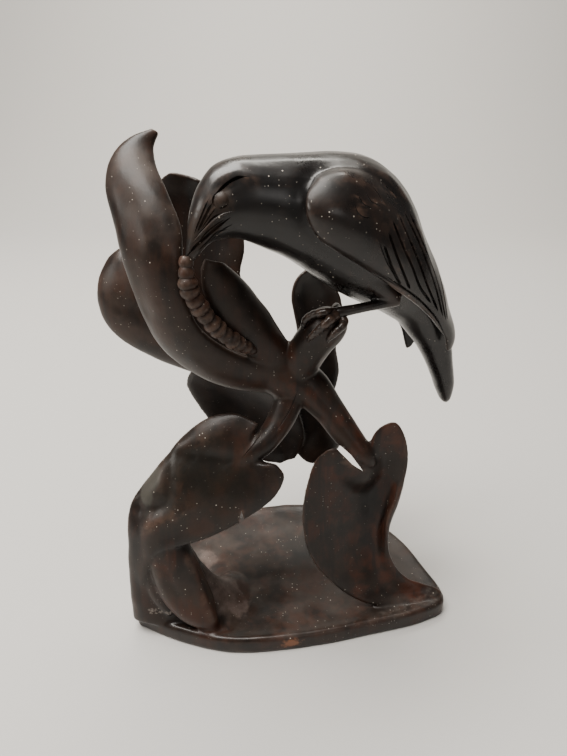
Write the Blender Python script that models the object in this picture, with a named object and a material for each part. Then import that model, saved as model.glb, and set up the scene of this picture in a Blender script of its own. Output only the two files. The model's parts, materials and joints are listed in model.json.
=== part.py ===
"""A bird perched on a branch of broad leaves, carved with its plinth from one block of dark wood.

Everything is one solid: the bird, the grub in its beak, the knot of the branch with its
stub and two stems, ten leaves and the plinth. Each form is a lofted body, and a union joins them.
The pose is drawn in parts of the figure's height, measured from the plinth's underside.
"""
import math

import bmesh
import bpy
import numpy as np

# Driving sizes in metres
FIGURE_HEIGHT = 0.288        # from the plinth's top to the tip of the tallest leaf
PLINTH_THICKNESS = 0.012     # plate that everything stands on
PLINTH_BORDER = 0.003        # how far the plate stands out past the feet of the leaves
PLINTH_EDGE = 0.0022         # width of the worn round along the plate's edges
PLINTH_DISH = 0.0030         # how deep the plate's top is hollowed
FLESHY_LEAF = 0.0085         # thickness of the two front leaves that hold the grub
BACK_LEAF = 0.0065           # thickness of the leaves behind
STANDING_LEAF = 0.0070       # thickness of the two leaves that stand on the plinth
WING_THICKNESS = 0.0075      # thickness of a wing at its shoulder
FEATHER_GROOVE = 0.0009      # depth of the grooves between the wing feathers
STUB_RADIUS = 0.0115         # sawn stub that the bird perches on
KNOT_RADIUS = 0.0150         # knot where leaves and stems meet
STEM_RADIUS = 0.0085         # the two stems below the knot, at mid length
CORE_RADIUS = 0.0100         # solid wood behind the rolled leaf
THIGH_RADIUS = 0.0110        # feathered part of the bird's leg, at the belly
SHANK_RADIUS = 0.0030        # bare part of the bird's leg
TOE_RADIUS = 0.0026
EYE_RADIUS = 0.0034
BROW_RADIUS = 0.0030         # the cut under the brow
GAPE_RADIUS = 0.0012         # ridge along the beak's gape
GRUB_RADIUS = 0.0050

# The pose's own measure: 288 parts from the plinth's top, at level 12, to the tallest tip
POSE_PARTS = 288.0
PLINTH_LEVEL = 12.0
UNIT = FIGURE_HEIGHT / POSE_PARTS

# The bird's middle plane, seen from above, turns its head towards the front
BIRD_PLANE = (-18.0, 0.30)   # depth at the middle, and how it grows to the right
DRAWN_BORDER = 3.0           # border that the drawn outline of the plinth already has
FAR_WING_DROOP = (7.0, 12.0)  # how far the far wing's tip lies in front of the near one's, and below

WOOD = (0.030, 0.017, 0.011, 1.0)

GRUB_SEGMENTS = 14
RINGS_PER_SEGMENT = 2
GRUB_WAIST = 0.86            # share of the grub's radius left between two segments
FEATHERS = 7
BULGE_WIDTH = 40             # a leaf's bulge is given for a leaf this many parts wide
GROOVE_START = 0.28          # share of a wing's length with no grooves, from the shoulder
GROOVE_GROWTH = 2.6          # how fast the grooves reach their depth after that
SHARP_ANGLE = 40             # degrees; folds beyond it show as edges


def clear_scene():
    for item in list(bpy.data.objects):
        bpy.data.objects.remove(item, do_unlink=True)


def smooth(rows, count):
    """Rows read evenly from a smooth curve that passes through the given ones."""
    rows = np.array(rows, dtype=float)
    steps = np.linalg.norm(np.diff(rows, axis=0), axis=1)
    knots = np.concatenate(([0.0], np.cumsum(np.sqrt(steps))))
    slopes = np.gradient(rows, knots, axis=0)
    out = []
    for place in np.linspace(0.0, knots[-1], count):
        i = min(int(np.searchsorted(knots, place, side="right")) - 1, len(rows) - 2)
        span = knots[i + 1] - knots[i]
        f = (place - knots[i]) / span
        start = (1 + 2 * f) * (1 - f) ** 2 * rows[i] + f * (1 - f) ** 2 * span * slopes[i]
        end = f * f * (3 - 2 * f) * rows[i + 1] + f * f * (f - 1) * span * slopes[i + 1]
        out.append(start + end)
    return np.array(out)


def unit(vectors):
    length = np.linalg.norm(vectors, axis=-1, keepdims=True)
    return vectors / np.maximum(length, 1e-9)


def to_world(point):
    """A place of the pose in metres. The figure stands on the plinth, however thick that is."""
    x, y, z = point
    return (x * UNIT, y * UNIT, PLINTH_THICKNESS + (z - PLINTH_LEVEL) * UNIT)


def beside(x, z, side):
    """A place given on the bird's middle plane, moved sideways towards the front."""
    depth, turn = BIRD_PLANE
    across = unit(np.array([turn, -1.0]))
    return (x + side * across[0], depth + turn * x + side * across[1], z)


def skin(name, rings, in_metres=False, thin=False):
    """A closed body over rings of points.

    Each end is closed by a fan round its middle. A thin section bends too much for that, so its
    end is closed by a strip between its two sides.
    """
    mesh = bpy.data.meshes.new(name)
    bm = bmesh.new()
    loops = []
    for ring in rings:
        loops.append([bm.verts.new(p if in_metres else to_world(p)) for p in ring])
    for low, high in zip(loops, loops[1:]):
        for i in range(len(low)):
            j = (i + 1) % len(low)
            bm.faces.new((low[i], low[j], high[j], high[i]))
    for loop in (loops[0], loops[-1]):
        if thin:
            for i in range(len(loop) // 2):
                bm.faces.new(tuple(dict.fromkeys((loop[i], loop[i + 1], loop[-i - 1], loop[-i]))))
            continue
        middle = bm.verts.new(np.mean([v.co for v in loop], axis=0))
        for i in range(len(loop)):
            bm.faces.new((loop[i], loop[(i + 1) % len(loop)], middle))
    bmesh.ops.recalc_face_normals(bm, faces=bm.faces)
    bmesh.ops.triangulate(bm, faces=bm.faces)
    bm.to_mesh(mesh)
    bm.free()
    form = bpy.data.objects.new(name, mesh)
    bpy.context.scene.collection.objects.link(form)
    form.hide_render = True
    form.display_type = "WIRE"
    return form


def oval_ring(middle, first, second, sides):
    """Points round an oval with the two given half axes."""
    ring = []
    for i in range(sides):
        angle = 2 * math.pi * i / sides
        ring.append(middle + math.cos(angle) * first + math.sin(angle) * second)
    return ring


def limb(name, rows, radius, sides=10, count=12, side=(0.3, -1.0, 0.1)):
    """A round limb. A row is a place of the pose and its share of the radius."""
    table = smooth(rows, count)
    path = table[:, :3]
    along = unit(np.gradient(path, axis=0))
    rings = []
    for place, share, forward in zip(path, table[:, 3], along):
        first = unit(np.array(side) - np.dot(side, forward) * forward)
        second = np.cross(forward, first)
        reach = share * radius / UNIT
        rings.append(oval_ring(place, first * reach, second * reach, sides))
    return skin(name, rings)


def leaf(name, stations, thickness, bulge=0.0, across=8, count=14, tip=0.45, grooves=0, groove=0.0):
    """A leaf or wing: a curved plate through its left edge, midrib and right edge.

    A station gives the two edges, or the edges with the midrib between them. Without a midrib
    the plate bulges forward by so many parts. The plate thins to a rounded edge all round.
    """
    rows = []
    for station in stations:
        left, right = np.array(station[0], float), np.array(station[-1], float)
        middle = np.array(station[1], float) if len(station) == 3 else (left + right) / 2
        rows.append(np.concatenate([left, middle, right]))
    rails = smooth(rows, count)
    left, middle, right = rails[:, 0:3], rails[:, 3:6], rails[:, 6:9]
    shares = [math.sin(math.pi / 2 * (2 * i / across - 1)) for i in range(across + 1)]
    if grooves:
        shares = [2 * i / across - 1 for i in range(across + 1)]
    if len(stations[0]) == 2:
        facing = unit(np.cross(right - left, np.gradient(middle, axis=0)))
        facing *= np.where(facing[:, 1:2] > 0, -1.0, 1.0)
        middle = middle + facing * bulge * np.linalg.norm(right - left, axis=1)[:, None] / BULGE_WIDTH
    grid = np.array([middle + s * (right - left) / 2 + s * s * ((left + right) / 2 - middle) for s in shares])
    normal = unit(np.cross(np.gradient(grid, axis=0), np.gradient(grid, axis=1)))
    normal *= np.where(np.mean(normal[:, :, 1]) > 0, -1.0, 1.0)
    rings = []
    for k in range(count):
        end = 1.0 - (1.0 - tip) * (k / (count - 1)) ** 3
        front, back = [], []
        for i, s in enumerate(shares):
            half = thickness / UNIT / 2 * end * math.sqrt(max(0.0, 1 - s ** 4))
            if 0 < i < across:
                cut = 0.0
                if grooves and i % 2 == 0:
                    grown = GROOVE_GROWTH * (k / (count - 1) - GROOVE_START)
                    cut = groove / UNIT * min(1.0, max(0.0, grown))
                front.append(grid[i, k] + normal[i, k] * (half - cut))
                back.append(grid[i, k] - normal[i, k] * half)
        rings.append([grid[0, k]] + front + [grid[-1, k]] + back[::-1])
    return skin(name, rings, thin=True)


def bird_body():
    """Beak, head, back, rump and tail: ovals between the back line and the belly line."""
    rows = [
        (-50.0, 243.0, -48.2, 241.0, 1.2, 9.0),
        (-49.0, 250.0, -42.5, 247.5, 3.0, 8.5),
        (-47.5, 257.0, -38.5, 251.0, 5.5, 7.0),
        (-45.3, 266.5, -33.0, 253.0, 9.0, 5.0),
        (-41.0, 277.0, -23.0, 252.5, 12.5, 3.0),
        (-33.0, 286.0, -12.0, 247.0, 16.0, 1.0),
        (-22.0, 290.0, -2.0, 242.0, 19.0, 0.0),
        (-8.0, 290.5, 9.0, 234.5, 21.5, 0.0),
        (8.0, 290.7, 19.5, 226.5, 24.5, 0.0),
        (24.0, 291.0, 31.0, 218.0, 27.0, 0.0),
        (38.0, 289.3, 40.0, 213.0, 28.0, 0.0),
        (51.5, 282.7, 48.0, 208.5, 26.5, 0.0),
        (63.0, 270.8, 55.0, 205.0, 24.0, 0.0),
        (72.0, 254.0, 61.0, 201.0, 20.0, 0.0),
        (81.0, 237.0, 67.0, 196.5, 16.5, 0.0),
        (88.0, 219.0, 75.0, 187.0, 13.5, 0.0),
        (94.0, 203.0, 82.0, 177.5, 11.5, 0.0),
        (99.5, 187.0, 88.0, 167.0, 10.0, 0.0),
        (104.0, 168.0, 93.5, 156.0, 9.0, 0.0),
        (107.5, 151.0, 97.5, 146.5, 7.5, 0.0),
        (107.0, 141.0, 101.5, 139.0, 4.5, 0.0),
        (105.5, 137.5, 104.0, 137.0, 1.5, 0.0),
    ]
    rings = []
    sideways = unit(np.array(beside(0, 0, 1)) - np.array(beside(0, 0, 0)))
    for back_x, back_z, belly_x, belly_z, half, shift in smooth(rows, 25):
        back = np.array(beside(back_x, back_z, shift))
        belly = np.array(beside(belly_x, belly_z, shift))
        rings.append(oval_ring((back + belly) / 2, (back - belly) / 2, sideways * half, 16))
    return skin("bird_body", rings)


def wing(name, side, droop_x=0.0, droop_z=0.0):
    """One folded wing. The far one hangs a little lower towards its tip."""
    stations = [
        ((13, 283, 14), (3, 274, 25), (5, 264, 25)),
        ((25, 284, 14), (17, 270, 29.5), (9, 255, 27)),
        ((37, 281, 14), (31, 262, 31), (20, 247, 28)),
        ((50, 274, 12), (43, 254, 30.5), (33, 238.5, 28)),
        ((61.5, 262, 10), (54, 243, 28.5), (44, 230.5, 27)),
        ((72, 246, 9), (65, 231, 26), (55, 223.5, 25)),
        ((81.5, 228, 8), (76, 217, 22.5), (66, 215.5, 23)),
        ((89, 210, 9), (84, 202, 19.5), (76, 205, 21)),
        ((93.5, 196, 12), (90.5, 191, 17.5), (84.5, 195, 19)),
        ((93, 185, 15), (91.5, 183, 16), (89.5, 182.5, 16.5)),
    ]
    placed = []
    for k, station in enumerate(stations):
        share = (k / (len(stations) - 1)) ** 2
        placed.append([beside(x - droop_x * share, z - droop_z * share, side * w) for x, z, w in station])
    return leaf(name, placed, WING_THICKNESS, across=2 * FEATHERS, count=12, tip=0.5,
                grooves=FEATHERS, groove=FEATHER_GROOVE)


def bird_face():
    """The round of the eye, and the ridge along the gape from the cheek to the tip of the beak."""
    inner, outer = np.array(beside(-32, 273.5, 11)), np.array(beside(-32, 273.5, 17.2))
    dome = [(*(inner + (outer - inner) * f), share) for f, share in ((0, 0.8), (0.4, 1.0), (0.75, 0.75), (1, 0.2))]
    gape = [(*beside(-27, 267, 14.2), 0.3), (*beside(-33, 261.5, 13.5), 1.0), (*beside(-39, 255, 12), 1.0),
            (*beside(-45, 248, 11), 0.9), (*beside(-48.5, 243, 9.5), 0.5)]
    return [limb("eye", dome, EYE_RADIUS, sides=8, count=5, side=(0, 0, 1)),
            limb("gape", gape, GAPE_RADIUS, sides=6, count=8)]


def brow_hollow():
    """The long hollow above the eye, under the brow: it is cut out of the head."""
    rows = [(*beside(-20, 283, 15.5), 0.2), (*beside(-25, 282, 16.3), 0.7), (*beside(-29, 280.3, 16.8), 1.0),
            (*beside(-33, 277, 16.3), 0.8), (*beside(-36, 273, 15), 0.2)]
    return limb("brow_hollow", rows, BROW_RADIUS, sides=8, count=8)


def bird_leg():
    """Feathered thigh, thin shank and ringed toes that grip the stub."""
    thigh = [(*beside(38, 237, 13), 1.0), (*beside(43.5, 229, 17), 0.68), (*beside(50, 222, 19.5), 0.42),
             (*beside(54.5, 218.5, 21), 0.28)]
    shank = [(61, -22, 218.7, 1.15), (52, -22.7, 216.8, 0.95), (40, -23.5, 214.5, 0.9), (30, -24, 212.5, 1.1),
             (24, -23, 210, 1.2)]
    forms = [limb("thigh", thigh, THIGH_RADIUS, sides=8, count=6),
             limb("shank", shank, SHANK_RADIUS, sides=6, count=8)]
    toes = [
        [(27, -23, 212, 1.3), (21.5, -26, 213, 1.1), (16, -23.5, 211, 1.0), (12, -22, 207.5, 0.9),
         (10.3, -20, 202, 0.45)],
        [(28, -25, 212, 1.3), (23.3, -30, 209.5, 1.1), (18.3, -28.7, 204, 1.0), (14.8, -27, 199.5, 0.8),
         (13, -25.5, 196.5, 0.4)],
        [(30, -23, 211, 1.3), (32, -27, 207.5, 1.1), (27.5, -30, 203.5, 0.95), (24.5, -29, 199.5, 0.6),
         (23.5, -28, 197, 0.35)],
        [(28, -20, 212, 1.2), (29, -12, 211, 1.0), (29.5, -7, 206, 0.8), (29, -5, 200, 0.4)],
    ]
    for i, toe in enumerate(toes):
        forms.append(limb(f"toe_{i + 1}", toe, TOE_RADIUS, sides=6, count=7))
    return forms


def grub():
    """A ringed grub that hangs from the beak along the fold between the front leaves."""
    route = [(-46.5, -41, 247), (-46.5, -42.5, 238), (-45.5, -42.5, 230), (-42, -41, 222), (-37.5, -39.5, 214),
             (-32, -37, 206.5), (-26, -34.5, 200.5), (-20, -31, 195.5), (-15, -27.5, 191)]
    girth = [0.6, 0.9, 1.0, 0.97, 0.97, 0.95, 0.9, 0.75, 0.35]
    count = GRUB_SEGMENTS * RINGS_PER_SEGMENT + 1
    rows = smooth([(*place, share) for place, share in zip(route, girth)], count)
    for k in range(count):
        rows[k, 3] *= GRUB_WAIST if k % RINGS_PER_SEGMENT == 0 else 1.0
    return limb("grub", rows, GRUB_RADIUS, sides=8, count=count)


def branch():
    """The knot, the sawn stub above it and the two stems that run down to the standing leaves."""
    knot = [(-22, -9, 173, 0.2), (-13, -8.5, 171, 0.65), (0, -8, 167, 0.93), (10, -8, 161, 0.86),
            (17, -9, 155, 0.55), (21, -10, 151, 0.15)]
    stub = [(3, -7, 161, 0.9), (11, -10.5, 179, 0.98), (18, -14.5, 193, 0.98), (24, -17, 202, 0.98),
            (27.5, -18.5, 208, 0.72), (29, -19.2, 210.5, 0.25)]
    right = [(5, -8, 172, 1.2), (15, -9.5, 161, 1.4), (28, -17, 147, 1.1), (40, -25, 133, 0.95),
             (48, -30, 125, 0.7), (54, -31, 118, 0.25)]
    left = [(4, -8, 164, 1.3), (3, -13, 153, 1.05), (-2, -20, 143, 0.95), (-10, -27, 134, 0.85),
            (-20, -31, 127, 0.8), (-30, -33, 121, 0.65), (-40, -35, 117, 0.35)]
    petiole = [(6, -4, 166, 1.2), (11, 8, 164, 1.0), (18, 22, 162, 0.8), (23, 32, 160, 0.5)]
    return [
        limb("knot", knot, KNOT_RADIUS, sides=10, count=9),
        limb("stub", stub, STUB_RADIUS, sides=10, count=8),
        limb("right_stem", right, STEM_RADIUS, sides=9, count=9),
        limb("left_stem", left, STEM_RADIUS, sides=9, count=11),
        limb("back_petiole", petiole, STEM_RADIUS, sides=8, count=6),
    ]


def leaves():
    """Ten leaves, and the bank of wood between the rolled one and the plinth.

    An edge runs from the leaf's root to its tip.
    """
    tall = [
        ((-4, -3, 155), (6, -14, 176)), ((-40, -10, 166), (-19, -22, 185)), ((-60, -14, 182), (-34, -29, 196)),
        ((-71, -17, 199), (-44, -34, 209)), ((-77, -19, 220), (-49, -36, 227)), ((-82, -19, 242), (-49, -34, 244)),
        ((-86, -15, 261), (-50, -27, 257)), ((-89, -9, 276), (-57, -16, 272)), ((-86, -4, 287), (-64, -5, 283)),
        ((-78, 2, 295), (-66, 3, 291)), ((-67, 5.5, 299.5), (-63.5, 6, 298)),
    ]
    round_back = [
        ((-12, 3, 154), (-4, -2, 174)), ((-40, 3, 160), (-30, -4, 182)), ((-59, 4, 165), (-49, 0, 192)),
        ((-86, 8, 175), (-63, 6, 203)), ((-104, 11, 188), (-74, 10, 220)), ((-110, 13, 202), (-79, 14, 229)),
        ((-109, 16, 216), (-86, 18, 235)), ((-103, 20, 228), (-92, 21, 236)),
    ]
    behind_head = [
        ((-12, 4, 158), (4, 0, 172)), ((-44, 22, 156), (-2, 10, 175)), ((-73, 32, 180), (-13, 22, 194)),
        ((-84, 38, 211), (-26, 30, 215)), ((-84, 41, 238), (-23, 33, 235)), ((-79, 42, 262), (-29, 36, 257)),
        ((-72, 40, 271), (-40, 38, 265)), ((-66, 39, 275), (-50, 39, 271)),
    ]
    front_right = [
        ((-2, -14, 168), (9, -4, 178)), ((-12, -18, 179), (3, -6, 185)), ((-24, -26, 192), (-1, -7, 192)),
        ((-32, -31, 205), (-9, -9, 206)), ((-38, -34, 218), (-15, -12, 216)), ((-41, -35, 229), (-19, -15, 223)),
        ((-41, -35, 238), (-24, -19, 230)), ((-39, -33, 244), (-31, -27, 240)),
    ]
    cupped = [
        ((15, 27, 130), (22, 30, 124)), ((7, 21, 144), (33, 34, 130)), ((10, 22, 162), (38, 38, 146)),
        ((10, 26, 178), (35, 38, 165)),
        ((7, 30, 191), (38, 40, 183)), ((5, 32, 203), (37, 42, 198)), ((8, 35, 212), (30, 42, 210)),
        ((14, 37, 217), (22, 40, 217)),
    ]
    hanging = [
        ((2, 0, 156), (22, -2, 154)), ((4, 12, 140), (26, 12, 140)), ((9, 26, 112), (33, 28, 110)),
        ((8, 30, 90), (41, 34, 91)), ((15, 33, 78), (29, 35, 77)), ((20, 34, 75), (24, 34.5, 75)),
    ]
    shaded = [
        ((-30, -2, 172), (-14, -2, 174)), ((-54, 10, 163), (-20, 2, 166)), ((-63, 18, 149), (-12, 0, 157)),
        ((-59, 26, 129), (2, 2, 147)), ((-43, 32, 100), (12, 12, 124)), ((-16, 33, 77), (14, 24, 97)),
        ((-2, 32, 75), (8, 28, 82)),
    ]
    left_standing = [
        ((-14, -27, 145), (-24, -33, 126), (-4, -37, 124)), ((-27, -22, 149.5), (-34, -34, 121), (1, -39, 117)),
        ((-42, -20, 146), (-46, -36, 116), (-5, -43, 104)), ((-54, -21, 138), (-57, -38, 110), (-23, -47, 91)),
        ((-65, -25, 128), (-67, -41, 103), (-44, -50, 80)), ((-75, -28, 117), (-75, -43, 93), (-62, -51.5, 74)),
        ((-84, -31, 105), (-81, -45, 82), (-75, -51, 69)), ((-93, -38, 94), (-86, -46, 67), (-81, -49, 58)),
        ((-95, -41, 73), (-90, -46.5, 46), (-84, -47, 42)), ((-97, -43, 42), (-88, -48, 26), (-68, -44, 27)),
        ((-98, -45, 8), (-85, -51, 9), (-58, -52, 9)),
    ]
    right_standing = [
        ((35, -33, 132), (48, -30, 118), (50, -27, 131)), ((27, -34.5, 133), (50, -27, 107), (55, -28, 142.5)),
        ((19, -36, 127), (52.5, -20, 94), (65.5, -28, 147)), ((14, -39, 112), (54, -19, 80), (73.5, -28, 128)),
        ((11, -41, 92), (53, -20, 63.5), (72, -29, 100.5)), ((13, -42, 71), (52, -23, 49), (66.5, -30, 74.5)),
        ((19, -42, 52), (54.5, -27, 37), (68, -30, 51.5)), ((30, -42, 36), (60, -30, 27), (74.5, -30, 36)),
        ((45, -41, 20), (69, -31, 18), (84, -30, 25)), ((64, -40, 11), (80, -31, 13), (94, -28, 19)),
        ((86, -37, 10), (95, -31, 12), (104, -29, 16)), ((103, -33, 11), (106, -31, 12), (108, -30, 13)),
    ]
    rolled = [
        ((-80, -37, 80), (-59, -37, 85)), ((-82, -43, 66), (-58, -43, 73)), ((-82, -47, 52), (-54, -45, 60)),
        ((-79, -50, 39), (-50, -46, 47)), ((-73, -53, 27), (-45, -49, 34)), ((-63, -56, 17), (-42, -53, 23)),
        ((-48, -58, 11), (-41, -57, 13)),
    ]
    bank = [
        ((-63, -34, 67), (-50, -26, 19.5), (-29, -1, 6)), ((-60, -38, 62), (-45, -28, 20.5), (-25, -8, 6.5)),
        ((-57, -41, 55), (-42, -30, 19.5), (-22, -16, 7)), ((-53, -43, 43), (-39, -36, 16.5), (-22, -27, 7)),
        ((-49, -47, 30), (-37, -43, 13), (-23, -38, 7)), ((-46, -52, 19), (-36, -50, 10), (-24, -49, 7)),
        ((-44, -57, 10), (-35, -58, 8), (-26, -57, 6.5)),
    ]
    core = [(-76, -42, 56, 0.6), (-72, -43, 42, 1.0), (-63, -44, 28, 1.1), (-50, -46, 14, 1.0)]
    return [
        leaf("tall_leaf", tall, FLESHY_LEAF, bulge=6, count=14),
        leaf("round_leaf", round_back, BACK_LEAF, bulge=5, across=6, count=11),
        leaf("leaf_behind_head", behind_head, BACK_LEAF, bulge=-4, across=6, count=11),
        leaf("front_right_leaf", front_right, FLESHY_LEAF, bulge=6, count=11),
        leaf("cupped_leaf", cupped, BACK_LEAF, bulge=-9, across=6, count=11),
        leaf("hanging_leaf", hanging, BACK_LEAF, bulge=3, across=6, count=9),
        leaf("shaded_leaf", shaded, BACK_LEAF, bulge=-5, across=6, count=11),
        leaf("left_standing_leaf", left_standing, STANDING_LEAF, count=15, tip=0.8),
        leaf("right_standing_leaf", right_standing, STANDING_LEAF, count=15, tip=0.6),
        leaf("rolled_leaf", rolled, STANDING_LEAF, bulge=10, across=6, count=10),
        leaf("bank", bank, BACK_LEAF, across=6, count=6, tip=1.0),
        limb("rolled_core", core, CORE_RADIUS, sides=6, count=4),
    ]


def plinth():
    """A thin irregular plate with a worn edge and a hollowed top, flat below."""
    outline = [
        (-95, -47), (-70, -58), (-34, -67), (10, -64), (60, -53), (90, -45), (108, -35), (108, -22),
        (101, -4), (94, 15), (80, 36), (50, 56), (14, 65), (-22, 60), (-62, 45), (-90, 20), (-102, -8),
        (-103, -30), (-95, -47),
    ]
    edge = smooth(outline, 41)[:-1]
    outward = unit(edge - edge.mean(axis=0))
    rim = edge * UNIT + outward * (PLINTH_BORDER - DRAWN_BORDER * UNIT)
    middle = rim.mean(axis=0)
    worn = PLINTH_EDGE
    top = PLINTH_THICKNESS
    # Each row: how far out from the rim, share of the plan that it spans, and its level
    levels = [
        (-worn / 2, 1.0, 0.0), (0.0, 1.0, worn / 2), (0.0, 1.0, top - worn), (-worn, 1.0, top),
        (-worn, 0.90, top - 0.4 * PLINTH_DISH), (-worn, 0.5, top - PLINTH_DISH),
    ]
    rings = []
    for shift, share, level in levels:
        plan = middle + (rim + outward * shift - middle) * share
        rings.append([(x, y, level) for x, y in plan])
    return skin("plinth", rings, in_metres=True)


def combine(carving, form, operation):
    step = carving.modifiers.new(form.name, "BOOLEAN")
    step.operation = operation
    step.solver = "EXACT"
    step.object = form


def join_forms(forms):
    """One solid out of all the forms. What is cut away goes before the forms that follow it."""
    carving = forms[0]
    carving.name = "bird_carving"
    for form in forms[1:]:
        combine(carving, form, "DIFFERENCE" if form.name == "brow_hollow" else "UNION")
    carving.hide_render = False
    carving.display_type = "TEXTURED"
    return carving


def centre_on_plan(carving, forms):
    """Every form moves so that the whole stands centred on the origin."""
    bpy.context.view_layer.update()
    shape = carving.evaluated_get(bpy.context.evaluated_depsgraph_get())
    corners = np.array([v.co for v in shape.to_mesh().vertices])
    low, high = corners.min(axis=0), corners.max(axis=0)
    shape.to_mesh_clear()
    for form in forms:
        for v in form.data.vertices:
            v.co.x -= (low[0] + high[0]) / 2
            v.co.y -= (low[1] + high[1]) / 2


def wood():
    material = bpy.data.materials.new("dark_wood")
    material.use_nodes = True
    shader = material.node_tree.nodes["Principled BSDF"]
    shader.inputs["Base Color"].default_value = WOOD
    shader.inputs["Roughness"].default_value = 0.35
    shader.inputs["Metallic"].default_value = 0.0
    return material


def main():
    clear_scene()
    forms = [plinth(), bird_body(), brow_hollow(), *bird_face(), wing("near_wing", 1),
             wing("far_wing", -1, *FAR_WING_DROOP), *bird_leg(),
             grub(), *branch(), *leaves()]
    carving = join_forms(forms)
    centre_on_plan(carving, forms)
    carving.data.materials.append(wood())
    carving.data.shade_smooth()
    carving.data.set_sharp_from_angle(angle=math.radians(SHARP_ANGLE))


main()
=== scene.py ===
# %% [markdown]
# # A bird on a branch of broad leaves, carved from one block of dark wood
# The real thing is a tabletop carving about 30 cm tall. A long-winged bird bends over a branch
# and holds a grub in its beak. The branch, ten broad leaves and a thin plinth are cut in one
# with it, then stained nearly black and polished. We rebuild it as its carver worked: rough
# forms first, then one skin over all of them, then the fine cuts, then stain and polish.

import json
import math

import bmesh
import bpy
import numpy as np
from mathutils import Euler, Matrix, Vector
from mathutils.bvhtree import BVHTree
from mathutils.kdtree import KDTree

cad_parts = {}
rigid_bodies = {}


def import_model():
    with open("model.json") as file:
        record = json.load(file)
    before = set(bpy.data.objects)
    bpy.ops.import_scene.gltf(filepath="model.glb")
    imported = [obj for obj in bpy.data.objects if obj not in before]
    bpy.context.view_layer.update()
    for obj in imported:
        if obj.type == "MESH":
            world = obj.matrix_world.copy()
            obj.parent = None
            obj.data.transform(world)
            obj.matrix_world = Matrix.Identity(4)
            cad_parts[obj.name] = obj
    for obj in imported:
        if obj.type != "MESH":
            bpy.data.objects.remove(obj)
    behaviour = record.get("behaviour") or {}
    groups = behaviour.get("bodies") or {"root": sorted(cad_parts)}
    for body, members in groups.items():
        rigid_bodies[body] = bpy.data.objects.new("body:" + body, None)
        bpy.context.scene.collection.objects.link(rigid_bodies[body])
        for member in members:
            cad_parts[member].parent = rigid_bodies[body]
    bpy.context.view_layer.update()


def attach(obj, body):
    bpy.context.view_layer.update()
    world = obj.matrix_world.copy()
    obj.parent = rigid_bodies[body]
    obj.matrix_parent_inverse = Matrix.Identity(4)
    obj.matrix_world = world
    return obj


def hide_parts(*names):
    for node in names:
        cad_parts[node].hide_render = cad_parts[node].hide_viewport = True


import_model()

# %% [markdown]
# ## The drawing's own measure
# Every place below is given in millimetres on a drawing of the carving, with heights from the
# plinth's underside. The measured solid stands centred on the origin, so the drawing's zero is
# a little off it. Writing one small function for this keeps all later numbers easy to read.

# %% From the drawing to the scene
MM = 0.001
DRAWING_ZERO = np.array([0.58, 1.18, 0.0])
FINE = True


def place(points):
    """Drawing millimetres to metres in the scene."""
    return (np.array(points, dtype=float) + DRAWING_ZERO) * MM


def unit(vectors):
    length = np.linalg.norm(vectors, axis=-1, keepdims=True)
    return vectors / np.maximum(length, 1e-9)


print("the drawing's zero lies at", place([0, 0, 0]).round(5))

# %% [markdown]
# ## The camera first
# Some small details, such as the cuts between the feathers, are easiest to place where they are
# seen. So the camera comes first: it looks down at the carving by 27 degrees from in front, as
# a person at a table does. A ray from the camera through a point of the picture then finds the
# spot on the wood. The picture is 567 by 756 points.

# %% Set up the camera
PICTURE = (567, 756)
FOCAL = 568.0                 # in points of the picture
LOOKING_DOWN = 27.0           # degrees
SENSOR = 36.0                 # mm, along the picture's long side
EYE = place([0.0, -308.0, 318.0])

camera_data = bpy.data.cameras.new("camera")
camera_data.sensor_width = SENSOR
camera_data.lens = SENSOR * FOCAL / PICTURE[1]
camera_data.clip_start = 0.01
camera_data.clip_end = 30.0
camera = bpy.data.objects.new("camera", camera_data)
bpy.context.scene.collection.objects.link(camera)
camera.location = EYE
camera.rotation_euler = (math.radians(90 - LOOKING_DOWN), 0, 0)
bpy.context.scene.camera = camera
CAMERA_TURN = Euler(camera.rotation_euler).to_matrix()


def sight(x, y):
    """The direction in which the camera sees a point of the picture."""
    return (CAMERA_TURN @ Vector((x - PICTURE[0] / 2, PICTURE[1] / 2 - y, -FOCAL))).normalized()


print("lens", round(camera_data.lens, 2), "mm, at", [round(c, 3) for c in camera.location])

# %% [markdown]
# ## Smooth rails
# A carver draws a few stations across each form and lets a supple batten run through them. Here
# a cubic curve does the same: it passes through every row of a short table and can be read at
# as many places as wanted. Everything on the carving, from beak to plinth, is drawn this way.

# %% A curve through rows


def smooth(rows, count):
    """Rows read evenly from a smooth curve that passes through the given ones."""
    rows = np.array(rows, dtype=float)
    steps = np.linalg.norm(np.diff(rows, axis=0), axis=1)
    knots = np.concatenate(([0.0], np.cumsum(np.sqrt(np.maximum(steps, 1e-9)))))
    slopes = np.gradient(rows, knots, axis=0)
    out = []
    for at in np.linspace(0.0, knots[-1], count):
        i = min(int(np.searchsorted(knots, at, side="right")) - 1, len(rows) - 2)
        span = knots[i + 1] - knots[i]
        f = (at - knots[i]) / span
        start = (1 + 2 * f) * (1 - f) ** 2 * rows[i] + f * (1 - f) ** 2 * span * slopes[i]
        end = f * f * (3 - 2 * f) * rows[i + 1] + f * f * (f - 1) * span * slopes[i + 1]
        out.append(start + end)
    return np.array(out)


print("a curve read at 5 places:", smooth([[0], [1], [4]], 5).round(2).ravel())

# %% [markdown]
# ## Roughing out a form
# A form starts as a filled circle with as many corners as its section needs. The face is
# extruded once for each further section, and the new corners are moved to that section's
# outline. Each corner carries a number that the extrusion copies, so we always know which
# corner is which. The last face stays and closes the form.

# %% Extrude a form through its sections


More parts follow.
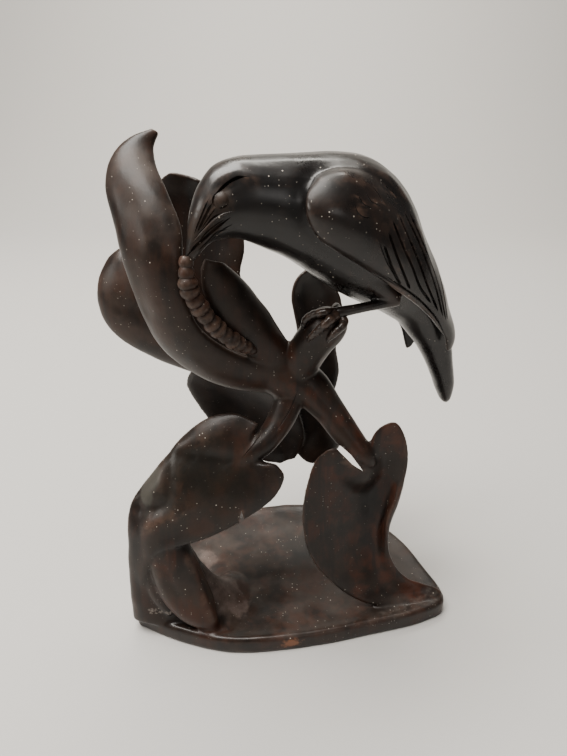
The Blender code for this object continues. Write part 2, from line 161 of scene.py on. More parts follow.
def rough_out(name, rings):
    """A closed form through rings of drawing points, by extruding a filled circle."""
    rings = [place(ring) for ring in rings]
    bpy.ops.object.select_all(action="DESELECT")
    middle = rings[0].mean(axis=0)
    bpy.ops.mesh.primitive_circle_add(vertices=len(rings[0]), radius=MM, fill_type="NGON",
                                      location=middle)
    form = bpy.context.object
    form.name = name
    bpy.ops.object.transform_apply(location=True, rotation=True, scale=True)
    bpy.ops.object.mode_set(mode="EDIT")
    for k, ring in enumerate(rings):
        if k:
            bpy.ops.mesh.extrude_region_move(TRANSFORM_OT_translate={"value": (0, 0, MM)})
        bm = bmesh.from_edit_mesh(form.data)
        corner = bm.verts.layers.int.get("corner") or bm.verts.layers.int.new("corner")
        if k == 0:
            for i, v in enumerate(bm.verts):
                v[corner] = i
        for v in bm.verts:
            if v.select:
                v.co = ring[v[corner]]
        bmesh.update_edit_mesh(form.data)
    bm.verts.layers.int.remove(corner)
    bpy.ops.mesh.select_all(action="SELECT")
    bpy.ops.mesh.normals_make_consistent(inside=False)
    bpy.ops.object.mode_set(mode="OBJECT")
    return form


def oval(middle, first, second, sides):
    """Points round an oval with the two given half axes."""
    turn = np.linspace(0, 2 * math.pi, sides, endpoint=False)[:, None]
    return middle + np.cos(turn) * first + np.sin(turn) * second


def limb(name, rows, radius, sides=16, count=24, side=(0.3, -1.0, 0.1)):
    """A round form along a path. A row is a place and its share of the radius."""
    table = smooth(rows, count)
    along = unit(np.gradient(table[:, :3], axis=0))
    rings = []
    for (x, y, z, share), forward in zip(table, along):
        first = unit(np.array(side) - np.dot(side, forward) * forward)
        second = np.cross(forward, first)
        rings.append(oval(np.array([x, y, z]), first * share * radius, second * share * radius,
                          sides))
    return rough_out(name, rings)


# %% [markdown]
# ## Bird: body and head
# The body is one long form from the beak's tip to the tail's end. Each section is an oval
# between the back line and the belly line. The bird's middle plane is turned a little, so that
# the head comes towards the viewer. The same plane carries the wings, the eye and the leg.

# %% Body from beak to tail
PLANE_DEPTH, PLANE_TURN = -18.0, 0.30


def beside(x, z, side):
    """A place given on the bird's middle plane, moved sideways towards the front."""
    across = unit(np.array([PLANE_TURN, -1.0]))
    return (x + side * across[0], PLANE_DEPTH + PLANE_TURN * x + side * across[1], z)


BODY = [
    # back x and z, belly x and z, half width, shift towards the front
    (-50.0, 243.0, -48.2, 241.0, 1.2, 9.0), (-49.0, 250.0, -42.5, 247.5, 3.0, 8.5),
    (-47.5, 257.0, -38.5, 251.0, 5.5, 7.0), (-45.3, 266.5, -33.0, 253.0, 9.0, 5.0),
    (-41.0, 277.0, -23.0, 252.5, 12.5, 3.0), (-33.0, 286.0, -12.0, 247.0, 16.0, 1.0),
    (-22.0, 290.0, -2.0, 242.0, 19.0, 0.0), (-8.0, 290.5, 9.0, 234.5, 21.5, 0.0),
    (8.0, 290.7, 19.5, 226.5, 24.5, 0.0), (24.0, 291.0, 31.0, 218.0, 27.0, 0.0),
    (38.0, 289.3, 40.0, 213.0, 28.0, 0.0), (51.5, 282.7, 48.0, 208.5, 26.5, 0.0),
    (63.0, 270.8, 55.0, 205.0, 24.0, 0.0), (72.0, 254.0, 61.0, 201.0, 20.0, 0.0),
    (81.0, 237.0, 67.0, 196.5, 16.5, 0.0), (88.0, 219.0, 75.0, 187.0, 13.5, 0.0),
    (94.0, 203.0, 82.0, 177.5, 11.5, 0.0), (99.5, 187.0, 88.0, 167.0, 10.0, 0.0),
    (104.0, 168.0, 93.5, 156.0, 9.0, 0.0), (107.5, 151.0, 97.5, 146.5, 7.5, 0.0),
    (107.0, 141.0, 101.5, 139.0, 4.5, 0.0), (105.5, 137.5, 104.0, 137.0, 1.5, 0.0),
]
BODY_SECTIONS, BODY_SIDES = 70, 32
sideways = unit(np.array(beside(0, 0, 1)) - np.array(beside(0, 0, 0)))
body_rings = []
for back_x, back_z, belly_x, belly_z, half, shift in smooth(BODY, BODY_SECTIONS):
    back = np.array(beside(back_x, back_z, shift))
    belly = np.array(beside(belly_x, belly_z, shift))
    body_rings.append(oval((back + belly) / 2, (back - belly) / 2, sideways * half, BODY_SIDES))
forms = {"body": rough_out("body", body_rings)}
print("body:", len(forms["body"].data.vertices), "corners")

# %% [markdown]
# ## Broad plates: leaves and wings
# A leaf of this carving is a thick curved plate with a soft rounded edge. It could be a flat
# grid with a Solidify modifier, but its thickness changes from root to tip. So we draw its left
# edge, its midrib and its right edge as rails, and run lens-shaped sections between them.

# %% A plate between its edges
BULGE_WIDTH = 40.0            # a bulge is given for a plate this many mm wide
HEEL_SHARE = 0.10             # share of the length over which a soft root rises


def plate(name, stations, thickness, bulge=0.0, across=22, count=40, tip=0.45, heel=1.0):
    """A curved plate through its left edge, midrib and right edge, thin and rounded at the rim."""
    rows = []
    for station in stations:
        left, right = np.array(station[0], float), np.array(station[-1], float)
        middle = np.array(station[1], float) if len(station) == 3 else (left + right) / 2
        rows.append(np.concatenate([left, middle, right]))
    rails = smooth(rows, count)
    left, middle, right = rails[:, 0:3], rails[:, 3:6], rails[:, 6:9]
    if len(stations[0]) == 2:
        facing = unit(np.cross(right - left, np.gradient(middle, axis=0)))
        facing *= np.where(facing[:, 1:2] > 0, -1.0, 1.0)
        width = np.linalg.norm(right - left, axis=1)[:, None]
        middle = middle + facing * bulge * width / BULGE_WIDTH
    shares = [math.sin(math.pi / 2 * (2 * i / across - 1)) for i in range(across + 1)]
    grid = np.array([middle + s * (right - left) / 2 + s * s * ((left + right) / 2 - middle)
                     for s in shares])
    normal = unit(np.cross(np.gradient(grid, axis=0), np.gradient(grid, axis=1)))
    normal *= -1.0 if np.mean(normal[:, :, 1]) > 0 else 1.0
    rings = []
    for k in range(count):
        end = 1.0 - (1.0 - tip) * (k / (count - 1)) ** 3
        root = max(0.0, 1.0 - k / (count - 1) / HEEL_SHARE)
        end *= heel + (1.0 - heel) * math.sqrt(1.0 - root ** 2)
        halves = [thickness / 2 * end * math.sqrt(max(0.0, 1 - s ** 4)) for s in shares]
        front = [grid[i, k] + normal[i, k] * halves[i] for i in range(1, across)]
        behind = [grid[i, k] - normal[i, k] * halves[i] for i in range(1, across)]
        rings.append([grid[0, k]] + front + [grid[-1, k]] + behind[::-1])
    return rough_out(name, rings)


# %% [markdown]
# ## Bird: folded wings
# The near wing lies over the flank like a long shell, raised at the shoulder and pointed at the
# back. The far wing is its twin on the other side and hangs a little lower, which is why its
# tip shows below the tail. Both are drawn on the bird's plane, and only the side changes.

# %% Near wing and far wing
WING = [
    ((13, 283, 14), (3, 274, 25), (5, 264, 25)), ((25, 284, 14), (17, 270, 29.5), (9, 255, 27)),
    ((37, 281, 14), (31, 262, 31), (20, 247, 28)),
    ((50, 274, 12), (43, 254, 30.5), (33, 238.5, 28)),
    ((61.5, 262, 10), (54, 243, 28.5), (44, 230.5, 27)),
    ((72, 246, 9), (65, 231, 26), (55, 223.5, 25)),
    ((81.5, 228, 8), (76, 217, 22.5), (66, 215.5, 23)),
    ((89, 210, 9), (84, 202, 19.5), (76, 205, 21)),
    ((93.5, 196, 12), (90.5, 191, 17.5), (84.5, 195, 19)),
    ((93, 185, 15), (91.5, 183, 16), (89.5, 182.5, 16.5)),
]
WING_THICKNESS = 7.5
FAR_WING_DROOP = (7.0, 12.0)  # back in x and down in z at its tip, mm


def wing(name, side, droop):
    stations = []
    for k, station in enumerate(WING):
        share = (k / (len(WING) - 1)) ** 2
        stations.append([beside(x - droop[0] * share, z - droop[1] * share, side * w)
                         for x, z, w in station])
    return plate(name, stations, WING_THICKNESS, count=48, tip=0.5, heel=0.25)


forms["near_wing"] = wing("near_wing", 1, (0.0, 0.0))
forms["far_wing"] = wing("far_wing", -1, FAR_WING_DROOP)
print("wings:", [len(forms[w].data.vertices) for w in ("near_wing", "far_wing")], "corners")

# %% [markdown]
# ## Branch: knot, stub and stems
# Leaves and stems meet in a knot. Above it is the sawn stub that the bird grips, and two stems
# run down from it to the standing leaves. All are round limbs that swell and thin along a path.

# %% Limbs of the branch
KNOT, STUB, STEM = 15.0, 11.5, 8.5
BRANCH = {
    "knot": (KNOT, [(-22, -9, 173, 0.2), (-13, -8.5, 171, 0.65), (0, -8, 167, 0.93),
                    (10, -8, 161, 0.86), (17, -9, 155, 0.55), (21, -10, 151, 0.15)]),
    "stub": (STUB, [(3, -7, 161, 0.9), (11, -10.5, 179, 0.98), (18, -14.5, 193, 0.98),
                    (24, -17, 202, 0.98), (27.5, -18.5, 208, 0.72), (29, -19.2, 210.5, 0.25)]),
    "right_stem": (STEM, [(5, -8, 172, 1.2), (15, -9.5, 161, 1.4), (28, -17, 147, 1.1),
                          (40, -25, 133, 0.95), (48, -30, 125, 0.7), (54, -31, 118, 0.25)]),
    "left_stem": (STEM, [(4, -8, 164, 1.3), (3, -13, 153, 1.05), (-2, -20, 143, 0.95),
                         (-10, -27, 134, 0.85), (-20, -31, 127, 0.8), (-30, -33, 121, 0.65),
                         (-40, -35, 117, 0.35)]),
    "back_petiole": (STEM, [(6, -4, 166, 1.2), (11, 8, 164, 1.0), (18, 22, 162, 0.8),
                            (23, 32, 160, 0.5)]),
}
for name, (radius, rows) in BRANCH.items():
    forms[name] = limb(name, rows, radius)
print("branch:", list(BRANCH))

# %% [markdown]
# ## Leaves
# Ten leaves, each with its own sweep. A row of a table below gives the two edges of the leaf, or
# the edges with the midrib between them where the leaf folds. The front pair is fleshy and cups
# the grub, the ones behind are thinner, and two broad ones stand on the plinth and carry it all.
# The last row, the bank, is where the plinth's top sweeps up to the rolled leaf. Two hidden
# limbs, the core and the web, fill the wood behind the rolled leaf and beside it.

# %% Rails of the leaves
FLESHY, THIN, STANDING = 8.5, 6.5, 7.0
LEAVES = {
    "tall_leaf": (FLESHY, 6, 0.45, [
        ((-4, -3, 155), (6, -14, 176)), ((-40, -10, 166), (-19, -22, 185)),
        ((-60, -14, 182), (-34, -29, 196)), ((-71, -17, 199), (-44, -34, 209)),
        ((-77, -19, 220), (-49, -36, 227)), ((-82, -19, 242), (-49, -34, 244)),
        ((-86, -15, 261), (-50, -27, 257)), ((-89, -9, 276), (-57, -16, 272)),
        ((-86, -4, 287), (-64, -5, 283)), ((-78, 2, 295), (-66, 3, 291)),
        ((-67, 5.5, 299.5), (-63.5, 6, 298))]),
    "round_leaf": (THIN, 5, 0.45, [
        ((-12, 3, 154), (-4, -2, 174)), ((-40, 3, 160), (-30, -4, 182)),
        ((-59, 4, 165), (-49, 0, 192)), ((-86, 8, 175), (-63, 6, 203)),
        ((-104, 11, 188), (-74, 10, 220)), ((-110, 13, 202), (-79, 14, 229)),
        ((-109, 16, 216), (-86, 18, 235)), ((-103, 20, 228), (-92, 21, 236))]),
    "leaf_behind_head": (THIN, -4, 0.45, [
        ((-12, 4, 158), (4, 0, 172)), ((-44, 22, 156), (-2, 10, 175)),
        ((-73, 32, 180), (-13, 22, 194)), ((-84, 38, 211), (-26, 30, 215)),
        ((-84, 41, 238), (-23, 33, 235)), ((-79, 42, 262), (-29, 36, 257)),
        ((-72, 40, 271), (-40, 38, 265)), ((-66, 39, 275), (-50, 39, 271))]),
    "front_right_leaf": (FLESHY, 6, 0.45, [
        ((-2, -14, 168), (9, -4, 178)), ((-12, -18, 179), (3, -6, 185)),
        ((-24, -26, 192), (-1, -7, 192)), ((-32, -31, 205), (-9, -9, 206)),
        ((-38, -34, 218), (-15, -12, 216)), ((-41, -35, 229), (-19, -15, 223)),
        ((-41, -35, 238), (-24, -19, 230)), ((-39, -33, 244), (-31, -27, 240))]),
    "cupped_leaf": (THIN, -9, 0.45, [
        ((15, 27, 130), (22, 30, 124)), ((7, 21, 144), (33, 34, 130)),
        ((10, 22, 162), (38, 38, 146)), ((10, 26, 178), (35, 38, 165)),
        ((7, 30, 191), (38, 40, 183)), ((5, 32, 203), (37, 42, 198)), ((8, 35, 212), (30, 42, 210)),
        ((14, 37, 217), (22, 40, 217))]),
    "hanging_leaf": (THIN, 3, 0.45, [
        ((2, 0, 156), (22, -2, 154)), ((4, 12, 140), (26, 12, 140)), ((9, 26, 112), (33, 28, 110)),
        ((8, 30, 90), (41, 34, 91)), ((15, 33, 78), (29, 35, 77)), ((20, 34, 75), (24, 34.5, 75))]),
    "shaded_leaf": (THIN, -5, 0.45, [
        ((-30, -2, 172), (-14, -2, 174)), ((-54, 10, 163), (-20, 2, 166)),
        ((-63, 18, 149), (-12, 0, 157)), ((-59, 26, 129), (2, 2, 147)),
        ((-43, 32, 100), (12, 12, 124)), ((-16, 33, 77), (14, 24, 97)),
        ((-2, 32, 75), (8, 28, 82))]),
    "left_standing_leaf": (STANDING, 0, 0.8, [
        ((-14, -27, 145), (-24, -33, 126), (-4, -37, 124)),
        ((-27, -22, 149.5), (-34, -34, 121), (1, -39, 117)),
        ((-42, -20, 146), (-46, -36, 116), (-5, -43, 104)),
        ((-54, -21, 138), (-57, -38, 110), (-23, -47, 91)),
        ((-65, -25, 128), (-67, -41, 103), (-44, -50, 80)),
        ((-75, -28, 117), (-75, -43, 93), (-62, -51.5, 74)),
        ((-84, -31, 105), (-81, -45, 82), (-75, -51, 69)),
        ((-93, -38, 94), (-86, -46, 67), (-81, -49, 58)),
        ((-95, -41, 73), (-90, -46.5, 46), (-84, -47, 42)),
        ((-97, -43, 42), (-88, -48, 26), (-68, -44, 27)),
        ((-98, -45, 8), (-85, -51, 9), (-58, -52, 9))]),
    "right_standing_leaf": (STANDING, 0, 0.6, [
        ((35, -33, 132), (48, -30, 118), (50, -27, 131)),
        ((27, -34.5, 133), (50, -27, 107), (55, -28, 142.5)),
        ((19, -36, 127), (52.5, -20, 94), (65.5, -28, 147)),
        ((14, -39, 112), (54, -19, 80), (73.5, -28, 128)),
        ((11, -41, 92), (53, -20, 63.5), (72, -29, 100.5)),
        ((13, -42, 71), (52, -23, 49), (66.5, -30, 74.5)),
        ((19, -42, 52), (54.5, -27, 37), (68, -30, 51.5)),
        ((30, -42, 36), (60, -30, 27), (74.5, -30, 36)),
        ((45, -41, 20), (69, -31, 18), (84, -30, 25)),
        ((64, -40, 11), (80, -31, 13), (94, -28, 19)),
        ((86, -37, 10), (95, -31, 12), (104, -29, 16)),
        ((103, -33, 11), (106, -31, 12), (108, -30, 13))]),
    "rolled_leaf": (STANDING, 10, 0.45, [
        ((-80, -37, 80), (-59, -37, 85)), ((-82, -43, 66), (-58, -43, 73)),
        ((-82, -47, 52), (-54, -45, 60)), ((-79, -50, 39), (-50, -46, 47)),
        ((-73, -53, 27), (-45, -49, 34)), ((-63, -56, 17), (-42, -53, 23)),
        ((-48, -58, 11), (-41, -57, 13))]),
    "bank": (THIN, 0, 1.0, [
        ((-63, -34, 67), (-50, -26, 19.5), (-29, -1, 6)),
        ((-60, -38, 62), (-45, -28, 20.5), (-25, -8, 6.5)),
        ((-57, -41, 55), (-42, -30, 19.5), (-22, -16, 7)),
        ((-53, -43, 43), (-39, -36, 16.5), (-22, -27, 7)),
        ((-49, -47, 30), (-37, -43, 13), (-23, -38, 7)),
        ((-46, -52, 19), (-36, -50, 10), (-24, -49, 7)),
        ((-44, -57, 10), (-35, -58, 8), (-26, -57, 6.5))]),
}
for name, (thickness, bulge, tip, stations) in LEAVES.items():
    forms[name] = plate(name, stations, thickness, bulge=bulge, tip=tip, count=4 * len(stations))
CORE_RADIUS, WEB_RADIUS = 10.0, 5.5
CORE = [(-76, -42, 56, 0.6), (-72, -43, 42, 1.0), (-63, -44, 28, 1.1), (-50, -46, 14, 1.0)]
forms["rolled_core"] = limb("rolled_core", CORE, CORE_RADIUS)
WEB = [(-84, -43, 68, 0.5), (-84, -44, 54, 1.0), (-83, -45, 42, 1.1), (-79, -46, 29, 1.1),
       (-72, -48, 17, 1.0)]
forms["rolled_web"] = limb("rolled_web", WEB, WEB_RADIUS)
print("leaves:", len(LEAVES) - 1)

# %% [markdown]
# ## Plinth
# Everything stands on a thin plate with a wavering outline, flat below, worn round along its
# edge and hollowed a little on top by the gouge. A lathe could make a round one, but this one was
# sawn by eye, so its outline is drawn point by point and its sections are stacked from below.

# %% Plate of the plinth
PLINTH_TOP, PLINTH_EDGE, PLINTH_DISH = 12.0, 2.2, 3.0
OUTLINE = [
    (-95, -47), (-70, -58), (-34, -67), (10, -64), (60, -53), (90, -45), (108, -35), (108, -22),
    (101, -4), (94, 15), (80, 36), (50, 56), (14, 65), (-22, 60), (-62, 45), (-90, 20), (-102, -8),
    (-103, -30), (-95, -47),
]
edge = smooth(OUTLINE, 121)[:-1]
outward = unit(edge - edge.mean(axis=0))
# each level: how far out, share of the plan, height
levels = [
    (-PLINTH_EDGE / 2, 1.0, 0.0), (0.0, 1.0, PLINTH_EDGE / 2), (0.0, 1.0, PLINTH_TOP - PLINTH_EDGE),
    (-PLINTH_EDGE, 1.0, PLINTH_TOP), (-PLINTH_EDGE, 0.90, PLINTH_TOP - 0.4 * PLINTH_DISH),
    (-PLINTH_EDGE, 0.5, PLINTH_TOP - PLINTH_DISH),
]
plan_middle = edge.mean(axis=0)
plinth_rings = []
for shift, share, level in levels:
    plan = plan_middle + (edge + outward * shift - plan_middle) * share
    plinth_rings.append(np.column_stack([plan, np.full(len(plan), level)]))
forms["plinth"] = rough_out("plinth", plinth_rings)
print("plinth:", round(float(np.ptp(edge[:, 0])), 1), "by", round(float(np.ptp(edge[:, 1])), 1),
      "mm")

# %% [markdown]
# ## Bird: thigh and shank
# The photograph shows one leg. A feathered thigh comes out of the belly and thins to a bare
# shank with a flat top, which runs down to the stub. The toes come later, as fine cuts.

# %% Thigh and shank
THIGH, SHANK = 11.0, 3.0
thigh = [(*beside(38, 237, 13), 1.0), (*beside(43.5, 229, 17), 0.68),
         (*beside(50, 222, 19.5), 0.42), (*beside(54.5, 218.5, 21), 0.28)]
shank = [(61, -22, 218.7, 1.15), (52, -22.7, 216.8, 0.95), (40, -23.5, 214.5, 0.9),
         (30, -24, 212.5, 1.1), (24, -23, 210, 1.2)]
forms["thigh"] = limb("thigh", thigh, THIGH)
forms["shank"] = limb("shank", shank, SHANK)
print("leg:", round(float(np.linalg.norm(np.array(shank[0][:3]) - np.array(shank[-1][:3]))), 1),
      "mm of shank")

# %% [markdown]
# ## One skin over all the forms
# A real carving has no joints: the leaf flows out of the stem. Joining the forms with Boolean
# unions would leave a hard seam at each meeting. A voxel remesh instead wraps one even skin
# round everything, and smoothing then melts the seams, most of all round the knot, where the
# carver blended the forms with a rasp.

# %% Join, wrap and smooth
VOXEL = 0.8 if FINE else 1.6
samples = {name: np.array([v.co for v in form.data.vertices]) for name, form in forms.items()}
bpy.ops.object.select_all(action="DESELECT")
for form in forms.values():
    form.select_set(True)
carving = forms["plinth"]
bpy.context.view_layer.objects.active = carving
bpy.ops.object.join()
carving.name = "carved_bird"


def finish_with(kind, **settings):
    """Puts one modifier on the carving and applies it."""
    step = carving.modifiers.new(kind.lower(), kind)
    for key, value in settings.items():
        setattr(step, key, value)
    bpy.ops.object.modifier_apply(modifier=step.name)


def mark(name, weight, levels):
    """A vertex group from one weight for each corner, in even steps."""
    made = carving.vertex_groups.new(name=name)
    for level in range(1, levels + 1):
        chosen = np.nonzero(np.round(weight * levels) == level)[0]
        made.add(chosen.tolist(), level / levels, "REPLACE")


def spots():
    """Every corner of the carving, in metres, as rows."""
    out = np.empty(len(carving.data.vertices) * 3)
    carving.data.vertices.foreach_get("co", out)
    return out.reshape(-1, 3)


finish_with("REMESH", mode="VOXEL", voxel_size=VOXEL * MM)
finish_with("SMOOTH", factor=0.5, iterations=5)
print("skin:", len(carving.data.vertices), "corners at", VOXEL, "mm")

# %% [markdown]
# ## Melt the meetings of the forms
# A vertex group tells the Smooth modifier where to work. Each meeting is a place and a reach,
# and the weight falls from one in its middle to nothing at its reach.

# %% Smooth round the knot and the roots
MEETINGS = [
    # place, reach in mm
    ((4, -9, 165), 30), ((-2, -15, 180), 20), ((16, -12, 190), 16), ((-24, -31, 124), 16),
    ((50, -29, 116), 15), ((10, -4, 150), 18), ((40, -24, 133), 12), ((22, 32, 150), 14),
    ((90, -33, 13), 14), ((-88, -48, 14), 14), ((-45, -56, 14), 12), ((66, -30, 222), 8),
    ((53, -14, 274), 14), ((64, -9, 262), 15), ((74, -5, 246), 14), ((84, -1, 228), 12),
    ((91, 0, 211), 8),
]
STEEPNESS = 1.3               # above one, the middle of a meeting melts evenly
weight = np.zeros(len(carving.data.vertices))
for middle, reach in MEETINGS:
    far = np.linalg.norm(spots() - place(middle), axis=1) / (reach * MM)
    weight = np.maximum(weight, np.clip(STEEPNESS - STEEPNESS * far, 0, 1))
mark("melt", weight, 8)
finish_with("SMOOTH", factor=0.6, iterations=28 if FINE else 8, vertex_group="melt")
carving.vertex_groups.clear()
print("melted corners:", int((weight > 0.05).sum()))

# %% [markdown]
# ## Traces of the gouge
# Polished hand work is never quite even: low waves a centimetre or two apart bend the
# reflections. A Displace modifier with a soft cloud texture moves the surface by a few tenths
# of a millimetre, which is enough for the light to wander.

# %% Low waves, then fewer faces
WAVE_LENGTH, WAVE_HEIGHT = 16.0, 0.8
CORNER_BUDGET = 165000 if FINE else 50000
waves = bpy.data.textures.new("gouge_waves", "CLOUDS")
waves.noise_scale = WAVE_LENGTH * MM
waves.noise_depth = 1
finish_with("DISPLACE", texture=waves, texture_coords="LOCAL", strength=WAVE_HEIGHT * MM,
            mid_level=0.5)
carving.data.calc_loop_triangles()
finish_with("DECIMATE", ratio=min(1.0, CORNER_BUDGET / len(carving.data.loop_triangles)))
print("after thinning:", len(carving.data.polygons), "faces")

# %% [markdown]
# ## Strokes on the wood
# Folds, cuts and ridges follow strokes that are drawn as the camera sees them. A ray finds the
# wood under each point of a stroke, so a stroke lands on whatever form lies there. Strokes
# come as short lists of points in the picture.

# %% Land a stroke on the wood


def seen_wood():
    """The carving as it is now, ready for rays."""
    return BVHTree.FromObject(carving, bpy.context.evaluated_depsgraph_get())


def land(points, spacing=3.0):
    """Places and surface directions in drawing mm where the camera sees a stroke on the wood."""
    length = np.linalg.norm(np.diff(np.array(points, float), axis=0), axis=1).sum()
    found, facing = [], []
    for x, y in smooth(points, max(6, int(length / spacing))):
        hit, normal, _, _ = tree.ray_cast(camera.location, sight(x, y))
        if hit is not None:
            found.append(np.array(hit) / MM - DRAWING_ZERO)
            facing.append(np.array(normal))
    return np.array(found), np.array(facing)


tree = seen_wood()
sample = land([(230, 200), (240, 200)])[0].round(1)
print("a stroke of two points lands at", sample[[0, -1]].tolist())

# %% [markdown]
# ## Soft relief
# The fold of a leaf is too soft for a cutting tool. A vertex group says how strongly each corner
# takes part: fully on the stroke, fading with distance and towards the stroke's ends. The
# Displace modifier then lifts those corners along the surface, or sinks them. Corners that
# face away are left alone, so a thin leaf keeps its back.

# %% Lift and sink along strokes
LEVELS = 40
LEAST_TURN, TURN_SPAN = 0.2, 0.4      # corners that face away further than this stay
FOLDS = [
    # reach and height in mm, then the stroke: first the left standing leaf
    (5.0, -2.0, [(236, 463), (215, 460), (190, 457), (164, 455)]),
    (10.0, 1.6, [(226, 432), (203, 438), (182, 446)]),
    (3.5, -1.5, [(168, 457), (169, 476), (167, 498), (158, 507)]),
    (8.0, 1.2, [(150, 470), (146, 485), (142, 500)]),
    (4.5, -1.5, [(130, 508), (145, 508), (164, 510)]),
    (5.5, 1.3, [(140, 534), (152, 528), (175, 514), (205, 500)]),
    (6.0, -1.1, [(152, 543), (175, 535), (200, 522)]),
    # right standing leaf
    (8.0, -2.0, [(378, 472), (374, 500), (373, 530), (374, 560), (385, 582)]),
    (12.0, 1.3, [(328, 478), (326, 520), (338, 562)]),
    (6.0, 1.2, [(394, 440), (397, 470), (392, 500), (384, 525)]),
    (3.0, -1.2, [(381, 430), (383, 450), (384, 468)]),
    # where the wing's upper edge runs into the back
    (5.5, 1.7, [(366, 170), (384, 178), (398, 193), (410, 214), (420, 238), (428, 264)]),
    # rolled leaf, its groove and the bank
    (9.0, 2.4, [(220, 552), (229, 576), (238, 602)]),
    (3.6, 2.4, [(186, 556), (195, 578), (205, 604), (213, 619)]),
    (3.2, -2.2, [(199, 557), (208, 580), (218, 605), (225, 621)]),
    (5.0, -1.3, [(163, 565), (172, 588), (185, 608)]),
    # leaves above
    (5.0, -0.9, [(118, 306), (135, 311), (155, 316)]),
    (7.0, -1.2, [(262, 356), (235, 330), (212, 300), (203, 282)]),
    (6.0, -0.9, [(150, 330), (137, 280), (128, 225), (127, 180)]),
    (4.0, -1.0, [(320, 420), (311, 437), (303, 451)]),
    (4.0, -1.2, [(303, 287), (302, 300), (304, 312)]),
    # before the wing's shoulder, and the hollow under the brow
    (3.0, -1.0, [(312, 171), (302, 186), (300, 207), (307, 226), (324, 245), (347, 259),
                 (365, 273)]),
    (6.0, 0.8, [(330, 178), (350, 176), (372, 186)]),
    (14.0, 1.2, [(372, 215), (386, 240), (398, 262)]),
    (3.6, -1.3, [(221, 189), (228, 187), (236, 181)]),
    (5.5, 0.8, [(222, 180), (232, 174), (246, 171)]),
]


def press(reach, height, points):
    """Lifts the wood along a stroke, or sinks it where the height is below zero."""
    found, facing = land(points, spacing=4.0)
    here = spots() / MM - DRAWING_ZERO
    normals = np.empty(len(here) * 3)
    carving.data.vertices.foreach_get("normal", normals)
    normals = normals.reshape(-1, 3)
    weight = np.zeros(len(here))
    fade = np.sin(np.linspace(0.12, 0.88, len(found)) * math.pi) ** 0.6
    for middle, toward, share in zip(found, facing, fade):
        far = np.linalg.norm(here - middle, axis=1) / reach
        turned = np.clip((normals @ toward - LEAST_TURN) / TURN_SPAN, 0, 1)
        weight = np.maximum(weight, share * np.exp(-far ** 2) * turned)
    mark("press", weight, LEVELS)
    finish_with("DISPLACE", strength=height * MM, mid_level=0.0, vertex_group="press")
    carving.vertex_groups.clear()


for fold in FOLDS:
    press(*fold)
finish_with("SMOOTH", factor=0.5, iterations=2)
tree = seen_wood()
print("folds:", len(FOLDS))

# %% [markdown]
# ## Tools that follow a stroke
# A thin form run along a stroke is a tool: taken away with a Boolean it is a V-cut, added it
# is a fine ridge. It thins at both ends, as a cut does where the carver's tool enters and
# leaves the wood. A stroke that runs over an edge is kept only where it lies well in view. The
# far side of the bird isn't seen from here, so its cuts are the near ones carried across the
# bird's middle plane and dropped on the nearest wood.

# %% Carry a stroke to the far side
WING_FALL = 100.0             # mm from the wing's shoulder down to its tip


def far_side(found):
    """The same places on the bird's other side, and the directions its surface faces there."""
    middles = [(row[0] + row[2]) / 2 for row in BODY]
    shift = np.interp(found[:, 0], middles, [row[5] for row in BODY])
    out = (found - np.array(beside(0, 0, 0))) @ sideways - shift
    other = found - 2 * out[:, None] * sideways
    droop = np.clip((WING[0][0][1] - found[:, 2]) / WING_FALL, 0, 1) ** 2
    other -= droop[:, None] * np.array([FAR_WING_DROOP[0], 0.0, FAR_WING_DROOP[1]])
    hits = [tree.find_nearest(Vector(place(point))) for point in other]
    landed = np.array([np.array(hit[0]) / MM - DRAWING_ZERO for hit in hits])
    return landed, np.array([np.array(hit[1]) for hit in hits])


beak_there = far_side(land([(200, 236), (198, 240)])[0])[0][0]
print("the beak's far side is at", beak_there.round(1).tolist())

# %% [markdown]
# ## Run the tool
# Each ring of the tool is an oval set on the wood: wide across the stroke, deep into the wood,
# and smaller towards both ends. The Boolean modifier then works with all tools in turn. Its
# Manifold solver is quick and keeps the rest of the skin as it is.

# %% Run a tool along a stroke
GRAZING, JUMP = 0.16, 4.5     # least turn towards the camera, and longest step in mm
END_SHARE = 0.12              # a tool's size at its two ends


def clear_part(found, facing):
    """The longest part of a stroke that faces the camera well and jumps to no other wood."""
    eye = np.array(camera.location) / MM - DRAWING_ZERO
    shown = -np.einsum("ij,ij->i", unit(found - eye), facing) > GRAZING
    steps = np.linalg.norm(np.diff(found, axis=0), axis=1)
    breaks = np.nonzero((steps > JUMP) | ~shown[1:] | ~shown[:-1])[0] + 1
    keep = max(np.split(np.arange(len(found)), breaks), key=len)
    return found[keep], facing[keep]


def stroke(name, width, depth, points, taper=0.25, sides=8, far=False):
    """A thin form along a stroke, with its width across the stroke and its depth into the wood."""
    found, facing = clear_part(*land(points))
    if far:
        found, facing = far_side(found)
    for turn in range(3):
        facing[1:-1] = unit(facing[:-2] + facing[1:-1] + facing[2:])
    forward = unit(np.gradient(found, axis=0))
    across = unit(np.cross(facing, forward))
    ends = np.linspace(0, 1, len(found))
    share = np.minimum(1.0, np.minimum(ends, 1 - ends) / taper + END_SHARE)
    rings = []
    for k in range(len(found)):
        first, second = across[k] * width / 2 * share[k], facing[k] * depth * share[k]
        rings.append(oval(found[k], first, second, sides))
    return rough_out(name, rings)


def work(tools, operation):
    """Takes the tools away from the carving, or adds them to it, and throws them away."""
    before = len(carving.data.polygons)
    for tool in tools:
        bpy.ops.object.select_all(action="DESELECT")
        carving.select_set(True)
        bpy.context.view_layer.objects.active = carving
        finish_with("BOOLEAN", operation=operation, solver="MANIFOLD", object=tool)
        bpy.data.objects.remove(tool, do_unlink=True)
    return len(carving.data.polygons) - before


print("tools ready")

